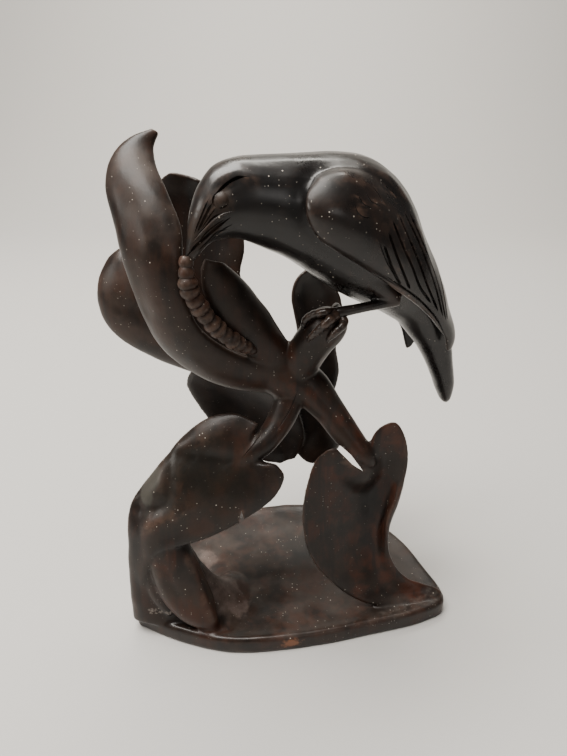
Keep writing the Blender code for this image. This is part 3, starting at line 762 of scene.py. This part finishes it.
# %% [markdown]
# ## Bird: eye, brow and beak
# The brow is one sharp cut with a hollow under it, and the round of the eye stands in the
# hollow. Below the eye the carver ran grooves side by side down to the beak, and the deepest of
# them is the gape. The eye is a sphere set so deep into the wood that only a low cap shows.
# Eye and cuts are repeated on the far side of the head.

# %% Cut the brow, set the eye, groove the beak
EYE_SPOT, EYE_RADIUS, EYE_DEPTH = (222, 199), 4.8, 3.7
FACE_CUTS = [
    # width and depth in mm, then the stroke
    (1.6, 1.6, [(215, 195), (222, 188), (230, 181.5), (238, 177.5), (246, 176.5)]),
    (1.1, 0.8, [(215, 194), (213, 199), (213.5, 205), (216, 208)]),
    (1.0, 0.6, [(219, 208.5), (224, 207), (228, 203)]),
    (1.5, 1.0, [(212, 203), (208, 211), (203, 221), (197.5, 232)]),
    (1.0, 0.7, [(208, 200), (203.5, 211), (199, 222), (194, 234)]),
    (1.0, 0.7, [(222, 213), (213, 218), (205, 228), (195, 238)]),
    (1.6, 1.4, [(231, 217), (217, 227.5), (205, 238), (195, 247), (186, 257)]),
    (1.2, 0.9, [(227, 229), (216, 233), (207, 242), (198, 251)]),
    (0.8, 0.5, [(225, 219), (214, 226), (206, 233), (197, 244)]),
    (0.8, 0.5, [(215, 209), (210, 216), (202, 228)]),
    (0.8, 0.5, [(233, 224), (222, 230), (211, 240), (203, 248)]),
]
FACE_RIDGES = [(1.5, 0.6, [(232, 211.5), (223, 215), (213, 222), (203, 232), (193, 242)])]
near_eye = land([EYE_SPOT, (EYE_SPOT[0] + 1, EYE_SPOT[1])])
eyes = []
for middles, facing in (near_eye, far_side(near_eye[0])):
    bpy.ops.object.select_all(action="DESELECT")
    bpy.ops.mesh.primitive_uv_sphere_add(segments=28, ring_count=18, radius=EYE_RADIUS * MM,
                                         location=place(middles[0] - facing[0] * EYE_DEPTH))
    bpy.ops.object.transform_apply(location=True, rotation=True, scale=True)
    eyes.append(bpy.context.object)
set_in = work(eyes, "UNION")
cuts = [stroke(f"face_cut_{i}", *row) for i, row in enumerate(FACE_CUTS)]
cuts += [stroke(f"far_face_cut_{i}", *row, far=True) for i, row in enumerate(FACE_CUTS)]
cut = work(cuts, "DIFFERENCE")
raised = work([stroke(f"face_ridge_{i}", *row) for i, row in enumerate(FACE_RIDGES)], "UNION")
print("face: faces gained", set_in, cut, raised)

# %% [markdown]
# ## Bird: toes
# Four ringed toes grip the stub. One toe is a short limb whose girth swells and thins along its
# length, which is how a carver suggests the scales of a bird's foot.

# %% Ringed toes
TOE, TOE_RINGS = 2.3, 7
TOES = [
    [(27, -23, 212, 1.3), (21.5, -26, 213, 1.1), (16, -23.5, 211, 1.0), (12, -22, 207.5, 0.9),
     (10.3, -20, 202, 0.45)],
    [(28, -25, 212, 1.3), (23.3, -30, 209.5, 1.1), (18.3, -28.7, 204, 1.0), (14.8, -27, 199.5, 0.8),
     (13, -25.5, 196.5, 0.4)],
    [(30, -23, 211, 1.3), (32, -27, 207.5, 1.1), (27.5, -30, 203.5, 0.95), (24.5, -29, 199.5, 0.6),
     (23.5, -28, 197, 0.35)],
    [(28, -20, 212, 1.2), (29, -12, 211, 1.0), (29.5, -7, 206, 0.8), (29, -5, 200, 0.4)],
]


def ringed(name, rows, radius, segments, waist, sides, uneven=0.0, steps=6):
    """A limb whose girth swells once for each segment, some segments more than others."""
    count = segments * steps + 1
    table = smooth(rows, count)
    wave = np.abs(np.sin(np.pi * np.arange(count) / steps)) ** 0.7
    varied = 1 + uneven * np.sin(np.arange(count) / steps * 2.4 + 1.0)
    table[:, 3] *= (waist + (1 - waist) * wave) * varied
    return limb(name, table, radius, sides=sides, count=count)


toes = [ringed(f"toe_{i + 1}", toe, TOE, TOE_RINGS, 0.87, 14) for i, toe in enumerate(TOES)]
samples["toes"] = np.concatenate([[v.co for v in toe.data.vertices] for toe in toes])
print("toes: faces gained", work(toes, "UNION"))

# %% [markdown]
# ## Grub
# The grub hangs from the beak along the fold between the two front leaves. It is one soft limb
# of fourteen segments, each a little barrel, and no two quite alike. The ringed limb that made
# a toe makes it too.

# %% Segments of the grub
GRUB, GRUB_SEGMENTS = 5.0, 14
route = [(-46.5, -41, 247, 0.6), (-46.5, -42.5, 238, 0.9), (-45.5, -42.5, 230, 1.0),
         (-42, -41, 222, 0.97), (-37.5, -39.5, 214, 0.97), (-32, -37, 206.5, 0.95),
         (-26, -34.5, 200.5, 0.9), (-20, -31, 195.5, 0.75), (-15, -27.5, 191, 0.35)]
grub = ringed("grub", route, GRUB, GRUB_SEGMENTS, 0.80, 20, uneven=0.07)
samples["grub"] = np.array([v.co for v in grub.data.vertices])
print("grub: faces gained", work([grub], "UNION"))

# %% [markdown]
# ## Cuts between the feathers, lips and slits
# The carver scored the near wing with a V-tool: long cuts fan from the flank to the wing's rear
# edge, and short scratches mark the coverts above. The wing's lower edge has a raised lip. The
# far wing gets the same long cuts. Two places are cut right through: a slit beside the right
# stem, and a nick in the left leaf's edge.

# %% Feathers, lip, slit and nick
FEATHER_CUTS = [
    [(384, 245), (393, 270), (401, 286)], [(389, 233), (396.5, 255), (405, 277), (410, 289)],
    [(393, 221), (402.5, 245), (412.5, 267.5), (420, 287), (431, 303)],
    [(399, 215), (410, 240.5), (420, 265), (428, 287), (438, 311)],
    [(405, 213.5), (417, 238), (427, 262.5), (435, 285), (443, 316)],
    [(410, 213.5), (421, 238), (431, 262.5), (439, 287), (446, 320)],
    [(414, 213.5), (427, 240.5), (436.5, 265), (443, 289.5), (447.5, 319)],
]
SCRATCHES = [
    [(355, 206), (358.5, 213.5), (366, 218), (371, 217)],
    [(358.5, 196), (363.5, 204), (372, 208.5)],
    [(366, 192.5), (371, 201), (380.5, 206)], [(373, 186.5), (379.5, 196), (383, 204)],
    [(385.5, 191.5), (390.5, 199), (396.5, 204)], [(383, 184), (393, 192.5), (398, 199)],
    [(378, 240), (386, 260), (393, 274)],
]
LIP = [(374, 273), (392, 284.5), (412, 298), (428, 312), (440, 328), (446, 343)]
LIP_GROOVE = [(384, 275), (404, 288), (421, 301), (436, 318), (445, 335)]
SLIT = [(336, 443), (342, 447), (351, 455), (363, 471), (353, 465), (344, 456), (337, 449)]
SLIT_DEPTHS, NICK_DEPTHS = (310, 372), (300, 350)     # mm before the camera
NICK = [(238.5, 522), (241.5, 511), (244.5, 521)]
STEM_CUTS = [[(297, 392), (290, 410), (276, 432)], [(262, 432), (254, 444), (243, 457)]]
# width and depth in mm: of a long cut, a scratch and a cut on a stem, of the lip and its groove
LONG, SHORT, ON_STEM = (1.5, 1.4), (0.7, 0.4), (1.0, 0.5)
RAISED, GROOVE = (3.6, 1.3), (1.2, 1.0)


def cut_through(name, outline, near, far):
    """A wedge from one distance before the camera to another, its section drawn in the picture."""
    eye = np.array(camera.location) / MM - DRAWING_ZERO
    return rough_out(name, [[eye + np.array(sight(x, y)) * reach for x, y in outline]
                            for reach in (near, far)])


lip = work([stroke("lip", *RAISED, LIP, taper=0.35)], "UNION")
cuts = [stroke(f"cut_{i}", *LONG, points, taper=0.05) for i, points in enumerate(FEATHER_CUTS)]
cuts += [stroke(f"far_cut_{i}", *LONG, points, taper=0.05, far=True)
         for i, points in enumerate(FEATHER_CUTS)]
cuts += [stroke(f"scratch_{i}", *SHORT, points) for i, points in enumerate(SCRATCHES)]
cuts += [stroke(f"stem_cut_{i}", *ON_STEM, points) for i, points in enumerate(STEM_CUTS)]
cuts += [stroke("lip_groove", *GROOVE, LIP_GROOVE), cut_through("slit", SLIT, *SLIT_DEPTHS),
         cut_through("nick", NICK, *NICK_DEPTHS)]
print("wing: faces gained", lip, "and", work(cuts, "DIFFERENCE"))

# %% [markdown]
# ## Maps on the wood
# Polish, stain and wear differ from place to place: the bird is blackest and glossiest, the knot
# and the right stem show red wood, and edges are rubbed lighter. Hollows get painted shade. We give
# every corner of the mesh a few numbers that say where it belongs. Materials read them as
# attributes, so they stay on the wood from every side.

# %% Where each corner belongs
TONES = {
    # form: bird, red, pale
    "body": (1.0, 0.0, 0.0), "near_wing": (0.95, 0.05, 0.12), "far_wing": (1.0, 0.0, 0.1),
    "thigh": (0.7, 0.15, 0.6), "shank": (0.8, 0.1, 0.4), "knot": (0.0, 1.0, 0.4),
    "stub": (0.1, 0.8, 0.4), "right_stem": (0.0, 1.0, 0.3), "left_stem": (0.0, 0.6, 0.5),
    "back_petiole": (0.0, 0.4, 0.2), "tall_leaf": (0.1, 0.2, 0.8), "round_leaf": (0.1, 0.3, 1.0),
    "leaf_behind_head": (0.2, 0.2, 0.1), "front_right_leaf": (0.0, 0.35, 0.6),
    "cupped_leaf": (0.5, 0.1, 0.6), "hanging_leaf": (0.2, 0.2, 0.4), "shaded_leaf": (0.3, 0.1, 0.1),
    "left_standing_leaf": (0.3, 0.35, 0.3), "right_standing_leaf": (0.2, 1.0, 0.3),
    "rolled_leaf": (0.1, 0.6, 0.6), "bank": (0.0, 0.4, 0.9), "rolled_core": (0.0, 0.4, 0.7),
    "rolled_web": (0.3, 0.1, 0.1), "plinth": (0.35, 0.40, 0.5), "grub": (0.0, 0.45, 0.6),
}
finder = KDTree(sum(len(rows) for rows in samples.values()))
owner = []
for name, rows in samples.items():
    for row in rows:
        finder.insert(row, len(owner))
        owner.append(TONES.get(name, TONES["shank"]))
finder.balance()
corners = spots()
tones = np.array([owner[finder.find(corner)[1]] for corner in corners])
ends = np.empty(len(carving.data.edges) * 2, dtype=int)
carving.data.edges.foreach_get("vertices", ends)
ends = ends.reshape(-1, 2)
links = np.bincount(ends.ravel(), minlength=len(corners))[:, None]


def spread(values, turns):
    """Values averaged with their neighbours' along the edges, a number of times."""
    for turn in range(turns):
        total = np.zeros_like(values)
        np.add.at(total, ends[:, 0], values[ends[:, 1]])
        np.add.at(total, ends[:, 1], values[ends[:, 0]])
        values = 0.5 * values + 0.5 * total / np.maximum(links, 1)
    return values


facing = np.empty(len(corners) * 3)
carving.data.vertices.foreach_get("normal", facing)
facing = facing.reshape(-1, 3)
bend = np.einsum("ij,ij->i", corners - spread(corners, 6), facing)[:, None] / MM
bend = spread(bend, 2)[:, 0]
tones = spread(tones, 12 if FINE else 4)
EDGE_BEND, HOLLOW_BEND, FLAT_BEND = 0.30, 0.25, 0.13
maps = {
    "bird": tones[:, 0], "red": tones[:, 1], "pale": tones[:, 2],
    "edge": np.clip((bend - FLAT_BEND) / EDGE_BEND, 0, 1),
    # the hollow map later darkens concave places with painted shade
    "hollow": np.clip((-bend - FLAT_BEND / 3) / HOLLOW_BEND, 0, 1),
}
for name, values in maps.items():
    layer = carving.data.attributes.new(name, "FLOAT", "POINT")
    layer.data.foreach_set("value", values.astype(np.float32))
print("edge and hollow, share of corners:",
      [round(float((maps[n] > 0.5).mean()), 3) for n in ("edge", "hollow")])

# %% [markdown]
# ## A few helpers for materials
# A material is a small network of nodes. Written out in full it is long, so these helpers add a
# node with its settings, wire its inputs, and give back what it puts out.

# %% Add nodes briefly


def add(tree, kind, inputs=(), **settings):
    """A node with its settings. An input may be a value or another node's socket."""
    made = tree.nodes.new("ShaderNode" + kind)
    for key, value in settings.items():
        setattr(made, key, value)
    for key, value in dict(inputs).items():
        if isinstance(value, bpy.types.NodeSocket):
            tree.links.new(value, made.inputs[key])
        else:
            made.inputs[key].default_value = value
    return made


def calc(tree, operation, *values, clamp=False):
    return add(tree, "Math", dict(enumerate(values)), operation=operation,
               use_clamp=clamp).outputs[0]


def ramp(tree, value, low, high, to_low=0.0, to_high=1.0):
    """A value carried smoothly from one range to another."""
    inputs = {"Value": value, "From Min": low, "From Max": high, "To Min": to_low,
              "To Max": to_high}
    return add(tree, "MapRange", inputs, interpolation_type="SMOOTHSTEP").outputs["Result"]


def tint(tree, share, under, over):
    """One colour laid over another by a share."""
    return add(tree, "Mix", {0: share, 6: under, 7: over}, data_type="RGBA").outputs[2]


def group(name, inputs, outputs):
    """An empty node group with named inputs and outputs."""
    tree = bpy.data.node_groups.new(name, "ShaderNodeTree")
    for label, kind, value in inputs:
        socket = tree.interface.new_socket(label, in_out="INPUT", socket_type="NodeSocket" + kind)
        if value is not None:
            socket.default_value = value
    for label, kind in outputs:
        tree.interface.new_socket(label, in_out="OUTPUT", socket_type="NodeSocket" + kind)
    return tree, tree.nodes.new("NodeGroupInput").outputs, tree.nodes.new("NodeGroupOutput").inputs


def use(tree, group_tree, **inputs):
    """A group placed in a material. An input's name is written with _ for a space."""
    made = tree.nodes.new("ShaderNodeGroup")
    made.node_tree = group_tree
    for key, value in inputs.items():
        socket = made.inputs[key.replace("_", " ")]
        if isinstance(value, bpy.types.NodeSocket):
            tree.links.new(value, socket)
        else:
            socket.default_value = value
    return made.outputs


print("helpers ready")

# %% [markdown]
# ## Group: grain
# Dense tropical wood has long fine pores that run the height of the block, whichever way the
# forms turn. Noise on stretched object coordinates gives them: a fine one for pores and a broad
# one for the bands of darker and lighter wood.

# %% Grain of the block
grain, g_in, g_out = group("grain", [("Vector", "Vector", None), ("Fineness", "Float", 900.0),
                                     ("Length", "Float", 14.0)],
                           [("Pores", "Float"), ("Bands", "Float")])
squeeze = calc(grain, "DIVIDE", 1.0, g_in["Length"])
stretch = add(grain, "CombineXYZ", {0: 1.0, 1: 1.0, 2: squeeze}).outputs[0]
along = add(grain, "VectorMath", {0: g_in["Vector"], 1: stretch}, operation="MULTIPLY").outputs[0]
pores = add(grain, "TexNoise", {"Vector": along, "Scale": g_in["Fineness"], "Detail": 2.0,
                                "Roughness": 0.6})
bands = add(grain, "TexNoise", {"Vector": along,
                                "Scale": calc(grain, "MULTIPLY", g_in["Fineness"], 0.12),
                                "Detail": 3.0, "Roughness": 0.55, "Distortion": 0.6})
grain.links.new(pores.outputs[0], g_out["Pores"])
grain.links.new(bands.outputs[0], g_out["Bands"])
print(grain.name, "puts out", [o.name for o in g_out if o.name])

# %% [markdown]
# ## Group: specks
# White specks of dust and plaster lie all over the carving. A Voronoi texture has one random
# point in each cell: near it, in a few cells only, the speck shows. A second noise gathers
# them in places.

# %% Specks of dust
specks, s_in, s_out = group("specks", [("Vector", "Vector", None), ("Scale", "Float", 300.0),
                                       ("Size", "Float", 0.2), ("Share", "Float", 0.1)],
                            [("Mask", "Float")])
cells = add(specks, "TexVoronoi", {"Vector": s_in["Vector"], "Scale": s_in["Scale"],
                                   "Randomness": 1.0})
lot = add(specks, "SeparateColor", {0: cells.outputs["Color"]}).outputs
chosen = calc(specks, "LESS_THAN", lot[0], s_in["Share"])
reach = calc(specks, "MULTIPLY", s_in["Size"], calc(specks, "ADD", 0.35, lot[1]))
near = calc(specks, "SUBTRACT", 1.0, calc(specks, "DIVIDE", cells.outputs["Distance"], reach),
            clamp=True)
shown = ramp(specks, near, 0.0, 0.5)
specks.links.new(calc(specks, "MULTIPLY", shown, chosen), s_out["Mask"])
print(specks.name, "puts out", [o.name for o in s_out if o.name])

# %% [markdown]
# ## Group: patch
# Some places differ for a reason of their own, such as a rub mark or a bare spot. A patch is an
# ellipsoid round a place, with a ragged edge from noise. It is used many times with different
# values, which is what groups are for.

# %% A ragged patch round a place
patch, p_in, p_out = group("patch", [("Vector", "Vector", None), ("Centre", "Vector", None),
                                     ("Reach", "Vector", (0.01,) * 3), ("Ragged", "Float", 0.5),
                                     ("Scale", "Float", 120.0)], [("Mask", "Float")])
offset = add(patch, "VectorMath", {0: p_in["Vector"], 1: p_in["Centre"]},
             operation="SUBTRACT").outputs[0]
offset = add(patch, "VectorMath", {0: offset, 1: p_in["Reach"]}, operation="DIVIDE").outputs[0]
far = add(patch, "VectorMath", {0: offset}, operation="LENGTH").outputs["Value"]
rough = add(patch, "TexNoise", {"Vector": p_in["Vector"], "Scale": p_in["Scale"], "Detail": 4.0,
                                "Roughness": 0.65})
push = calc(patch, "MULTIPLY", calc(patch, "SUBTRACT", rough.outputs[0], 0.5),
            calc(patch, "MULTIPLY", p_in["Ragged"], 3.0))
inside = calc(patch, "SUBTRACT", 1.0, calc(patch, "ADD", far, push))
patch.links.new(ramp(patch, inside, 0.0, 0.45), p_out["Mask"])
print(patch.name, "puts out", [o.name for o in p_out if o.name])

# %% [markdown]
# ## Dark wood
# One material covers the carving, because it is one piece of wood under one stain. It could be
# several materials with borders between them, but the real colours run into each other. We
# start it here, read the maps, and add four helpers: the wood under a point of the picture, a
# product, cloudy noise, and many patches at once.

# %% Start the dark wood
dark_wood = bpy.data.materials.new("dark_wood")
dark_wood.use_nodes = True
wood = dark_wood.node_tree
shader = wood.nodes["Principled BSDF"]
spot = add(wood, "TexCoord").outputs["Object"]
at = {name: add(wood, "Attribute", attribute_name=name,
                attribute_type="GEOMETRY").outputs["Fac"] for name in maps}


def under(x, y):
    """The place on the wood, in drawing mm, under a point of the picture."""
    return land([(x, y), (x + 1, y)])[0][0]


def times(one, other):
    """The product of two values."""
    return calc(wood, "MULTIPLY", one, other)


def mottle(scale, detail=3.0, roughness=0.6):
    """Cloudy noise from 0 to 1 on the wood."""
    made = add(wood, "TexNoise", {"Vector": spot, "Scale": scale, "Detail": detail,
                                  "Roughness": roughness})
    return made.outputs[0]


def patches(places):
    """One mask for many patches, each with a centre and a reach in drawing mm, and a raggedness."""
    total = None
    for centre, size, ragged in places:
        mask = use(wood, patch, Vector=spot, Centre=tuple(place(centre)),
                   Reach=tuple(s * MM for s in size), Ragged=ragged)["Mask"]
        total = mask if total is None else calc(wood, "MAXIMUM", total, mask)
    return total


fibre = use(wood, grain, Vector=spot)
clouds, fine_clouds = mottle(38.0), mottle(160.0, 4.0)
print("maps read:", list(at))

# %% [markdown]
# ## Stain and rubbed edges
# The stain is nearly black with umber under it. Paler brown shows on the leaves and red wood at the
# knot and the right stem. Edges are rubbed to a lighter brown, and hollows are darkened towards
# black as painted shade. Each colour is laid over the last by a share that a map and some noise
# give.

# %% Stain, red wood, edges and hollows
BLACK, UMBER = (0.0040, 0.0035, 0.0035, 1), (0.0160, 0.0088, 0.0056, 1)
PALE, RED = (0.038, 0.025, 0.019, 1), (0.044, 0.0140, 0.0072, 1)
RUBBED = (0.075, 0.045, 0.032, 1)
not_bird = calc(wood, "SUBTRACT", 1.0, at["bird"], clamp=True)
umber = times(ramp(wood, fibre["Bands"], 0.35, 0.65, 0.25, 1.0),
              calc(wood, "ADD", times(not_bird, 0.85), 0.15))
colour = tint(wood, umber, BLACK, UMBER)
pale = times(at["pale"], ramp(wood, clouds, 0.38, 0.66, 0.05, 0.85))
colour = tint(wood, pale, colour, PALE)
red = times(at["red"], ramp(wood, mottle(55.0, 5.0), 0.42, 0.62))
red = times(red, ramp(wood, fibre["Bands"], 0.38, 0.58, 0.15, 1.0))
colour = tint(wood, red, colour, RED)
rubbed = times(at["edge"], ramp(wood, fine_clouds, 0.40, 0.60, 0.1, 0.75))
colour = tint(wood, rubbed, colour, RUBBED)
# Painted shade: concave hollows are darkened towards black.
colour = tint(wood, times(at["hollow"], 0.6), colour, BLACK)
print("stain laid")

# %% [markdown]
# ## Places with a colour of their own, and painted light and shade
# Two bare spots are orange, the left standing leaf leans to olive, and the face is dull brown.
# Painted shade darkens the valley of the right standing leaf and part of the plinth's top to near
# black. Painted highlights lighten one facet of the left standing leaf and the bank beside the
# rolled leaf. Each is a patch or a few.

# %% Bare places, painted shade, olive and painted highlights
# Of these colours, the third is a painted highlight on a facet of the left standing leaf.
BARE, OLIVE, FACET_HIGHLIGHT = (0.26, 0.10, 0.045, 1), (0.0105, 0.0093, 0.0066, 1), (0.052, 0.050, 0.041, 1)
# The first colour here is a painted highlight for the bank beside the rolled leaf.
BANK_HIGHLIGHT, FACE = (0.105, 0.076, 0.066, 1), (0.032, 0.019, 0.012, 1)
BANK_HIGHLIGHT_SPOTS = [(206, 562), (211, 574), (217, 588), (223, 600), (230, 586), (236, 600)]
bare = patches([((-48, -33, 232), (1.6, 3, 2.6), 0.5), ((6, -66, 6), (8, 5, 5), 0.7)])
colour = tint(wood, times(bare, 0.7), colour, BARE)
# Painted shade: the valley of the right standing leaf and part of the plinth's top behind the
# standing leaves are darkened to near black.
painted_shade = patches([((53, -21, 84), (8, 14, 44), 0.4), ((22, 20, 9), (34, 18, 6), 0.5)])
colour = tint(wood, times(painted_shade, 0.75), colour, BLACK)
olive = patches([((-52, -36, 108), (48, 24, 46), 0.3)])
colour = tint(wood, times(olive, 0.45), colour, OLIVE)
# Painted highlight: the bank beside the rolled leaf is lightened where it catches the light.
bank_highlight = patches([(under(x, y), (11, 13, 10), 0.45) for x, y in BANK_HIGHLIGHT_SPOTS])
bank_highlight = times(bank_highlight, ramp(wood, fine_clouds, 0.30, 0.70, 0.20, 0.75))
colour = tint(wood, bank_highlight, colour, BANK_HIGHLIGHT)
# Painted highlight on one facet of the left standing leaf.
facet_highlight = patches([(under(152, 478), (8, 9, 13), 0.2), (under(146, 494), (6, 8, 8), 0.2)])
colour = tint(wood, times(facet_highlight, 0.55), colour, FACET_HIGHLIGHT)
face = patches([(under(221, 200), (7, 8, 8), 0.6), (under(208, 222), (8, 8, 9), 0.6),
                (under(198, 240), (8, 8, 9), 0.6)])
face = times(face, ramp(wood, fine_clouds, 0.30, 0.60, 0.4, 1.0))
colour = tint(wood, times(face, 0.6), colour, FACE)
print("places laid")

# %% [markdown]
# ## Scuffs, film and dust
# Whitish scuffs mark a few places, and a thin band along the plinth's front rim is lightened a
# little. A thin grey film lies on what faces up, less of it on the polished bird. Small and large
# specks of dust come last, so that they lie on top of everything.

# %% Scuffs, film and specks
FILM, SPECK = (0.17, 0.145, 0.125, 1), (0.62, 0.56, 0.48, 1)
RIM_SPOTS = [(362, 622), (384, 615), (404, 608), (422, 601), (438, 592)]
scuffs = patches([((-77, -53, 20), (9, 3, 2.2), 1.9), ((-26, -36, 141), (3, 3, 1.2), 1.2),
                  ((-12, -45, 97), (1.5, 3, 1.5), 0.6)])
scuffs = times(scuffs, ramp(wood, mottle(520.0, 2.0), 0.45, 0.62, 0.0, 0.7))
rim = patches([(under(x, y), (12, 5, 3), 0.6) for x, y in RIM_SPOTS])
rim = times(rim, ramp(wood, mottle(300.0, 3.0), 0.40, 0.75, 0.03, 0.20))
scuffs = calc(wood, "MAXIMUM", scuffs, rim)
colour = tint(wood, scuffs, colour, FILM)
upward = add(wood, "SeparateXYZ", {0: add(wood, "NewGeometry").outputs["Normal"]}).outputs[2]
film = times(ramp(wood, upward, 0.35, 0.95), ramp(wood, clouds, 0.45, 0.7, 0.0, 0.12))
film = times(film, calc(wood, "ADD", times(not_bird, 0.8), 0.2))
colour = tint(wood, film, colour, FILM)
small = use(wood, specks, Vector=spot, Scale=620.0, Size=0.22, Share=0.20)["Mask"]
large = use(wood, specks, Vector=spot, Scale=170.0, Size=0.075, Share=0.10)["Mask"]
dust = calc(wood, "MAXIMUM", times(small, ramp(wood, clouds, 0.42, 0.6, 0.1, 0.8)), large)
dust_shown = times(dust, ramp(wood, mottle(700.0, 1.0), 0.35, 0.65, 0.25, 0.9))
colour = tint(wood, dust_shown, colour, SPECK)
wood.links.new(colour, shader.inputs["Base Color"])
print("dust laid")

# %% [markdown]
# ## Polish
# The bird has had the most polish: it is less rough, and a clear coat of wax lies on it. The
# leaves are duller, and so are the face, the wing's shoulder and every speck of dust. What is
# the same all over, such as the coat's own roughness, is set on the shader itself.

# %% Roughness and wax
DULL, SHINY = 0.40, 0.29      # roughness of the leaves and of the bird
COAT_ROUGHNESS, SPECULAR_LEVEL = 0.22, 0.22
polish = ramp(wood, at["bird"], 0.0, 1.0, DULL, SHINY)
polish = calc(wood, "ADD", polish, ramp(wood, clouds, 0.3, 0.7, -0.05, 0.09))
polish = calc(wood, "ADD", polish, times(calc(wood, "SUBTRACT", fibre["Pores"], 0.5), 0.12))
shoulder = patches([(under(326, 186), (15, 15, 12), 0.2)])
polish = calc(wood, "ADD", polish, times(face, 0.22))
polish = calc(wood, "ADD", polish, times(shoulder, 0.16))
polish = calc(wood, "ADD", polish, times(dust, 0.4), clamp=True)
wood.links.new(polish, shader.inputs["Roughness"])
matte = calc(wood, "MAXIMUM", face, times(shoulder, 0.8))
wax = times(ramp(wood, at["bird"], 0.0, 1.0, 0.03, 0.40), calc(wood, "SUBTRACT", 1.0, matte))
wood.links.new(wax, shader.inputs["Coat Weight"])
shader.inputs["Coat Roughness"].default_value = COAT_ROUGHNESS
shader.inputs["Specular IOR Level"].default_value = SPECULAR_LEVEL
print("polish set")

# %% [markdown]
# ## Finest relief
# Pores, dust grains and the last faint tool marks are too fine for the mesh. A Bump node bends
# the light over them by at most a third of a millimetre. All larger relief is real geometry.

# %% Pores and dust in relief
BUMP_HEIGHT, BUMP_STRENGTH = 0.3, 0.35        # the height in mm
relief = calc(wood, "ADD", times(fibre["Pores"], 0.35), times(dust, 0.9))
relief = calc(wood, "ADD", relief, times(mottle(420.0, 2.0), 0.3))
bumps = add(wood, "Bump", {"Strength": BUMP_STRENGTH, "Distance": BUMP_HEIGHT * MM,
                           "Height": relief})
wood.links.new(bumps.outputs[0], shader.inputs["Normal"])
carving.data.materials.clear()
carving.data.materials.append(dark_wood)
print("dark wood has", len(wood.nodes), "nodes")

# %% [markdown]
# ## Put the piece in the frame
# The finished carving is shaded smooth, rides on the part's one body and stands for its one solid.
# Its finish is the dark wood given to it above.

# %% Smooth, ride and replace
SHARP_TURN = 50.0             # degrees, an edge that turns more stays sharp
bpy.ops.object.select_all(action="DESELECT")
carving.select_set(True)
bpy.context.view_layer.objects.active = carving
bpy.ops.object.shade_smooth_by_angle(angle=math.radians(SHARP_TURN))
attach(carving, "root")
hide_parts("bird_carving")
carving.data.calc_loop_triangles()
print("triangles:", len(carving.data.loop_triangles))

# %% [markdown]
# ## Studio
# The carving stands on a plain pale floor that sweeps up behind it, so that no line cuts the
# view. It is one plane: its rear edge is extruded upwards and the corner is bevelled wide.

# %% Floor that sweeps up
FLOOR_SIZE, FLOOR_FORWARD, WALL_HEIGHT, SWEEP = 5.0, 0.4, 3.0, 1.0    # m
BACK_EDGE = FLOOR_SIZE / 2 - FLOOR_FORWARD - 0.1
FLOOR_COLOUR, FLOOR_ROUGHNESS = (0.42, 0.407, 0.39, 1), 0.75
bpy.ops.object.select_all(action="DESELECT")
bpy.ops.mesh.primitive_plane_add(size=FLOOR_SIZE, location=(0, -FLOOR_FORWARD, 0))
floor = bpy.context.object
floor.name = "floor"
bpy.ops.object.transform_apply(location=True, rotation=True, scale=True)
bpy.ops.object.mode_set(mode="EDIT")
bm = bmesh.from_edit_mesh(floor.data)
bpy.ops.mesh.select_all(action="DESELECT")
bpy.ops.mesh.select_mode(type="EDGE")
for e in bm.edges:
    e.select_set(all(v.co.y > BACK_EDGE for v in e.verts))
bmesh.update_edit_mesh(floor.data)
bpy.ops.mesh.extrude_region_move(TRANSFORM_OT_translate={"value": (0, 0, WALL_HEIGHT)})
bm = bmesh.from_edit_mesh(floor.data)
for e in bm.edges:
    e.select_set(all(v.co.y > BACK_EDGE and v.co.z < 0.01 for v in e.verts))
bmesh.update_edit_mesh(floor.data)
bpy.ops.mesh.bevel(offset=SWEEP, segments=16, affect="EDGES")
bpy.ops.object.mode_set(mode="OBJECT")
floor.data.shade_smooth()
pale_floor = bpy.data.materials.new("pale_floor")
pale_floor.use_nodes = True
floor_shader = pale_floor.node_tree.nodes["Principled BSDF"]
floor_shader.inputs["Base Color"].default_value = FLOOR_COLOUR
floor_shader.inputs["Roughness"].default_value = FLOOR_ROUGHNESS
floor.data.materials.append(pale_floor)
print("floor:", len(floor.data.polygons), "faces")

# %% [markdown]
# ## Light
# Dark polished wood is seen mostly by what it mirrors. A wide ceiling lamp gives the long soft
# lights on the crown and the back, a lamp from the left draws the leaves' edges, and a lamp on
# the wall behind makes the outline stand out. A weak sky keeps the shadows open.

# %% Lamps and sky
LAMPS = {
    # name: place, size in m, power in W, warmth
    "ceiling": ((-0.50, -0.10, 1.70), 1.15, 85.0, (1.0, 0.97, 0.92)),
    "left": ((-1.3, -0.5, 0.7), 0.5, 7.0, (1.0, 0.96, 0.9)),
    "front": ((0.6, -1.6, 0.9), 0.5, 2.0, (1.0, 0.98, 0.95)),
    "wall": ((0.0, 0.9, 1.9), 1.0, 60.0, (1.0, 0.96, 0.88)),
}
AIM, WALL_AIM = Vector((0, 0, 0.15)), Vector((0, 2.1, 0.5))
SKY_COLOUR, SKY_STRENGTH = (1.0, 0.97, 0.92, 1), 0.12
for name, (at_place, size, power, warmth) in LAMPS.items():
    aim = WALL_AIM if name == "wall" else AIM
    lamp_data = bpy.data.lights.new(name, "AREA")
    lamp_data.size, lamp_data.energy, lamp_data.color = size, power, warmth
    lamp = bpy.data.objects.new(name, lamp_data)
    bpy.context.scene.collection.objects.link(lamp)
    lamp.location = at_place
    lamp.rotation_euler = (aim - Vector(at_place)).to_track_quat("-Z", "Y").to_euler()
sky = bpy.data.worlds.new("sky")
bpy.context.scene.world = sky
sky.use_nodes = True
sky.node_tree.nodes["Background"].inputs["Color"].default_value = SKY_COLOUR
sky.node_tree.nodes["Background"].inputs["Strength"].default_value = SKY_STRENGTH
print("lamps:", list(LAMPS))
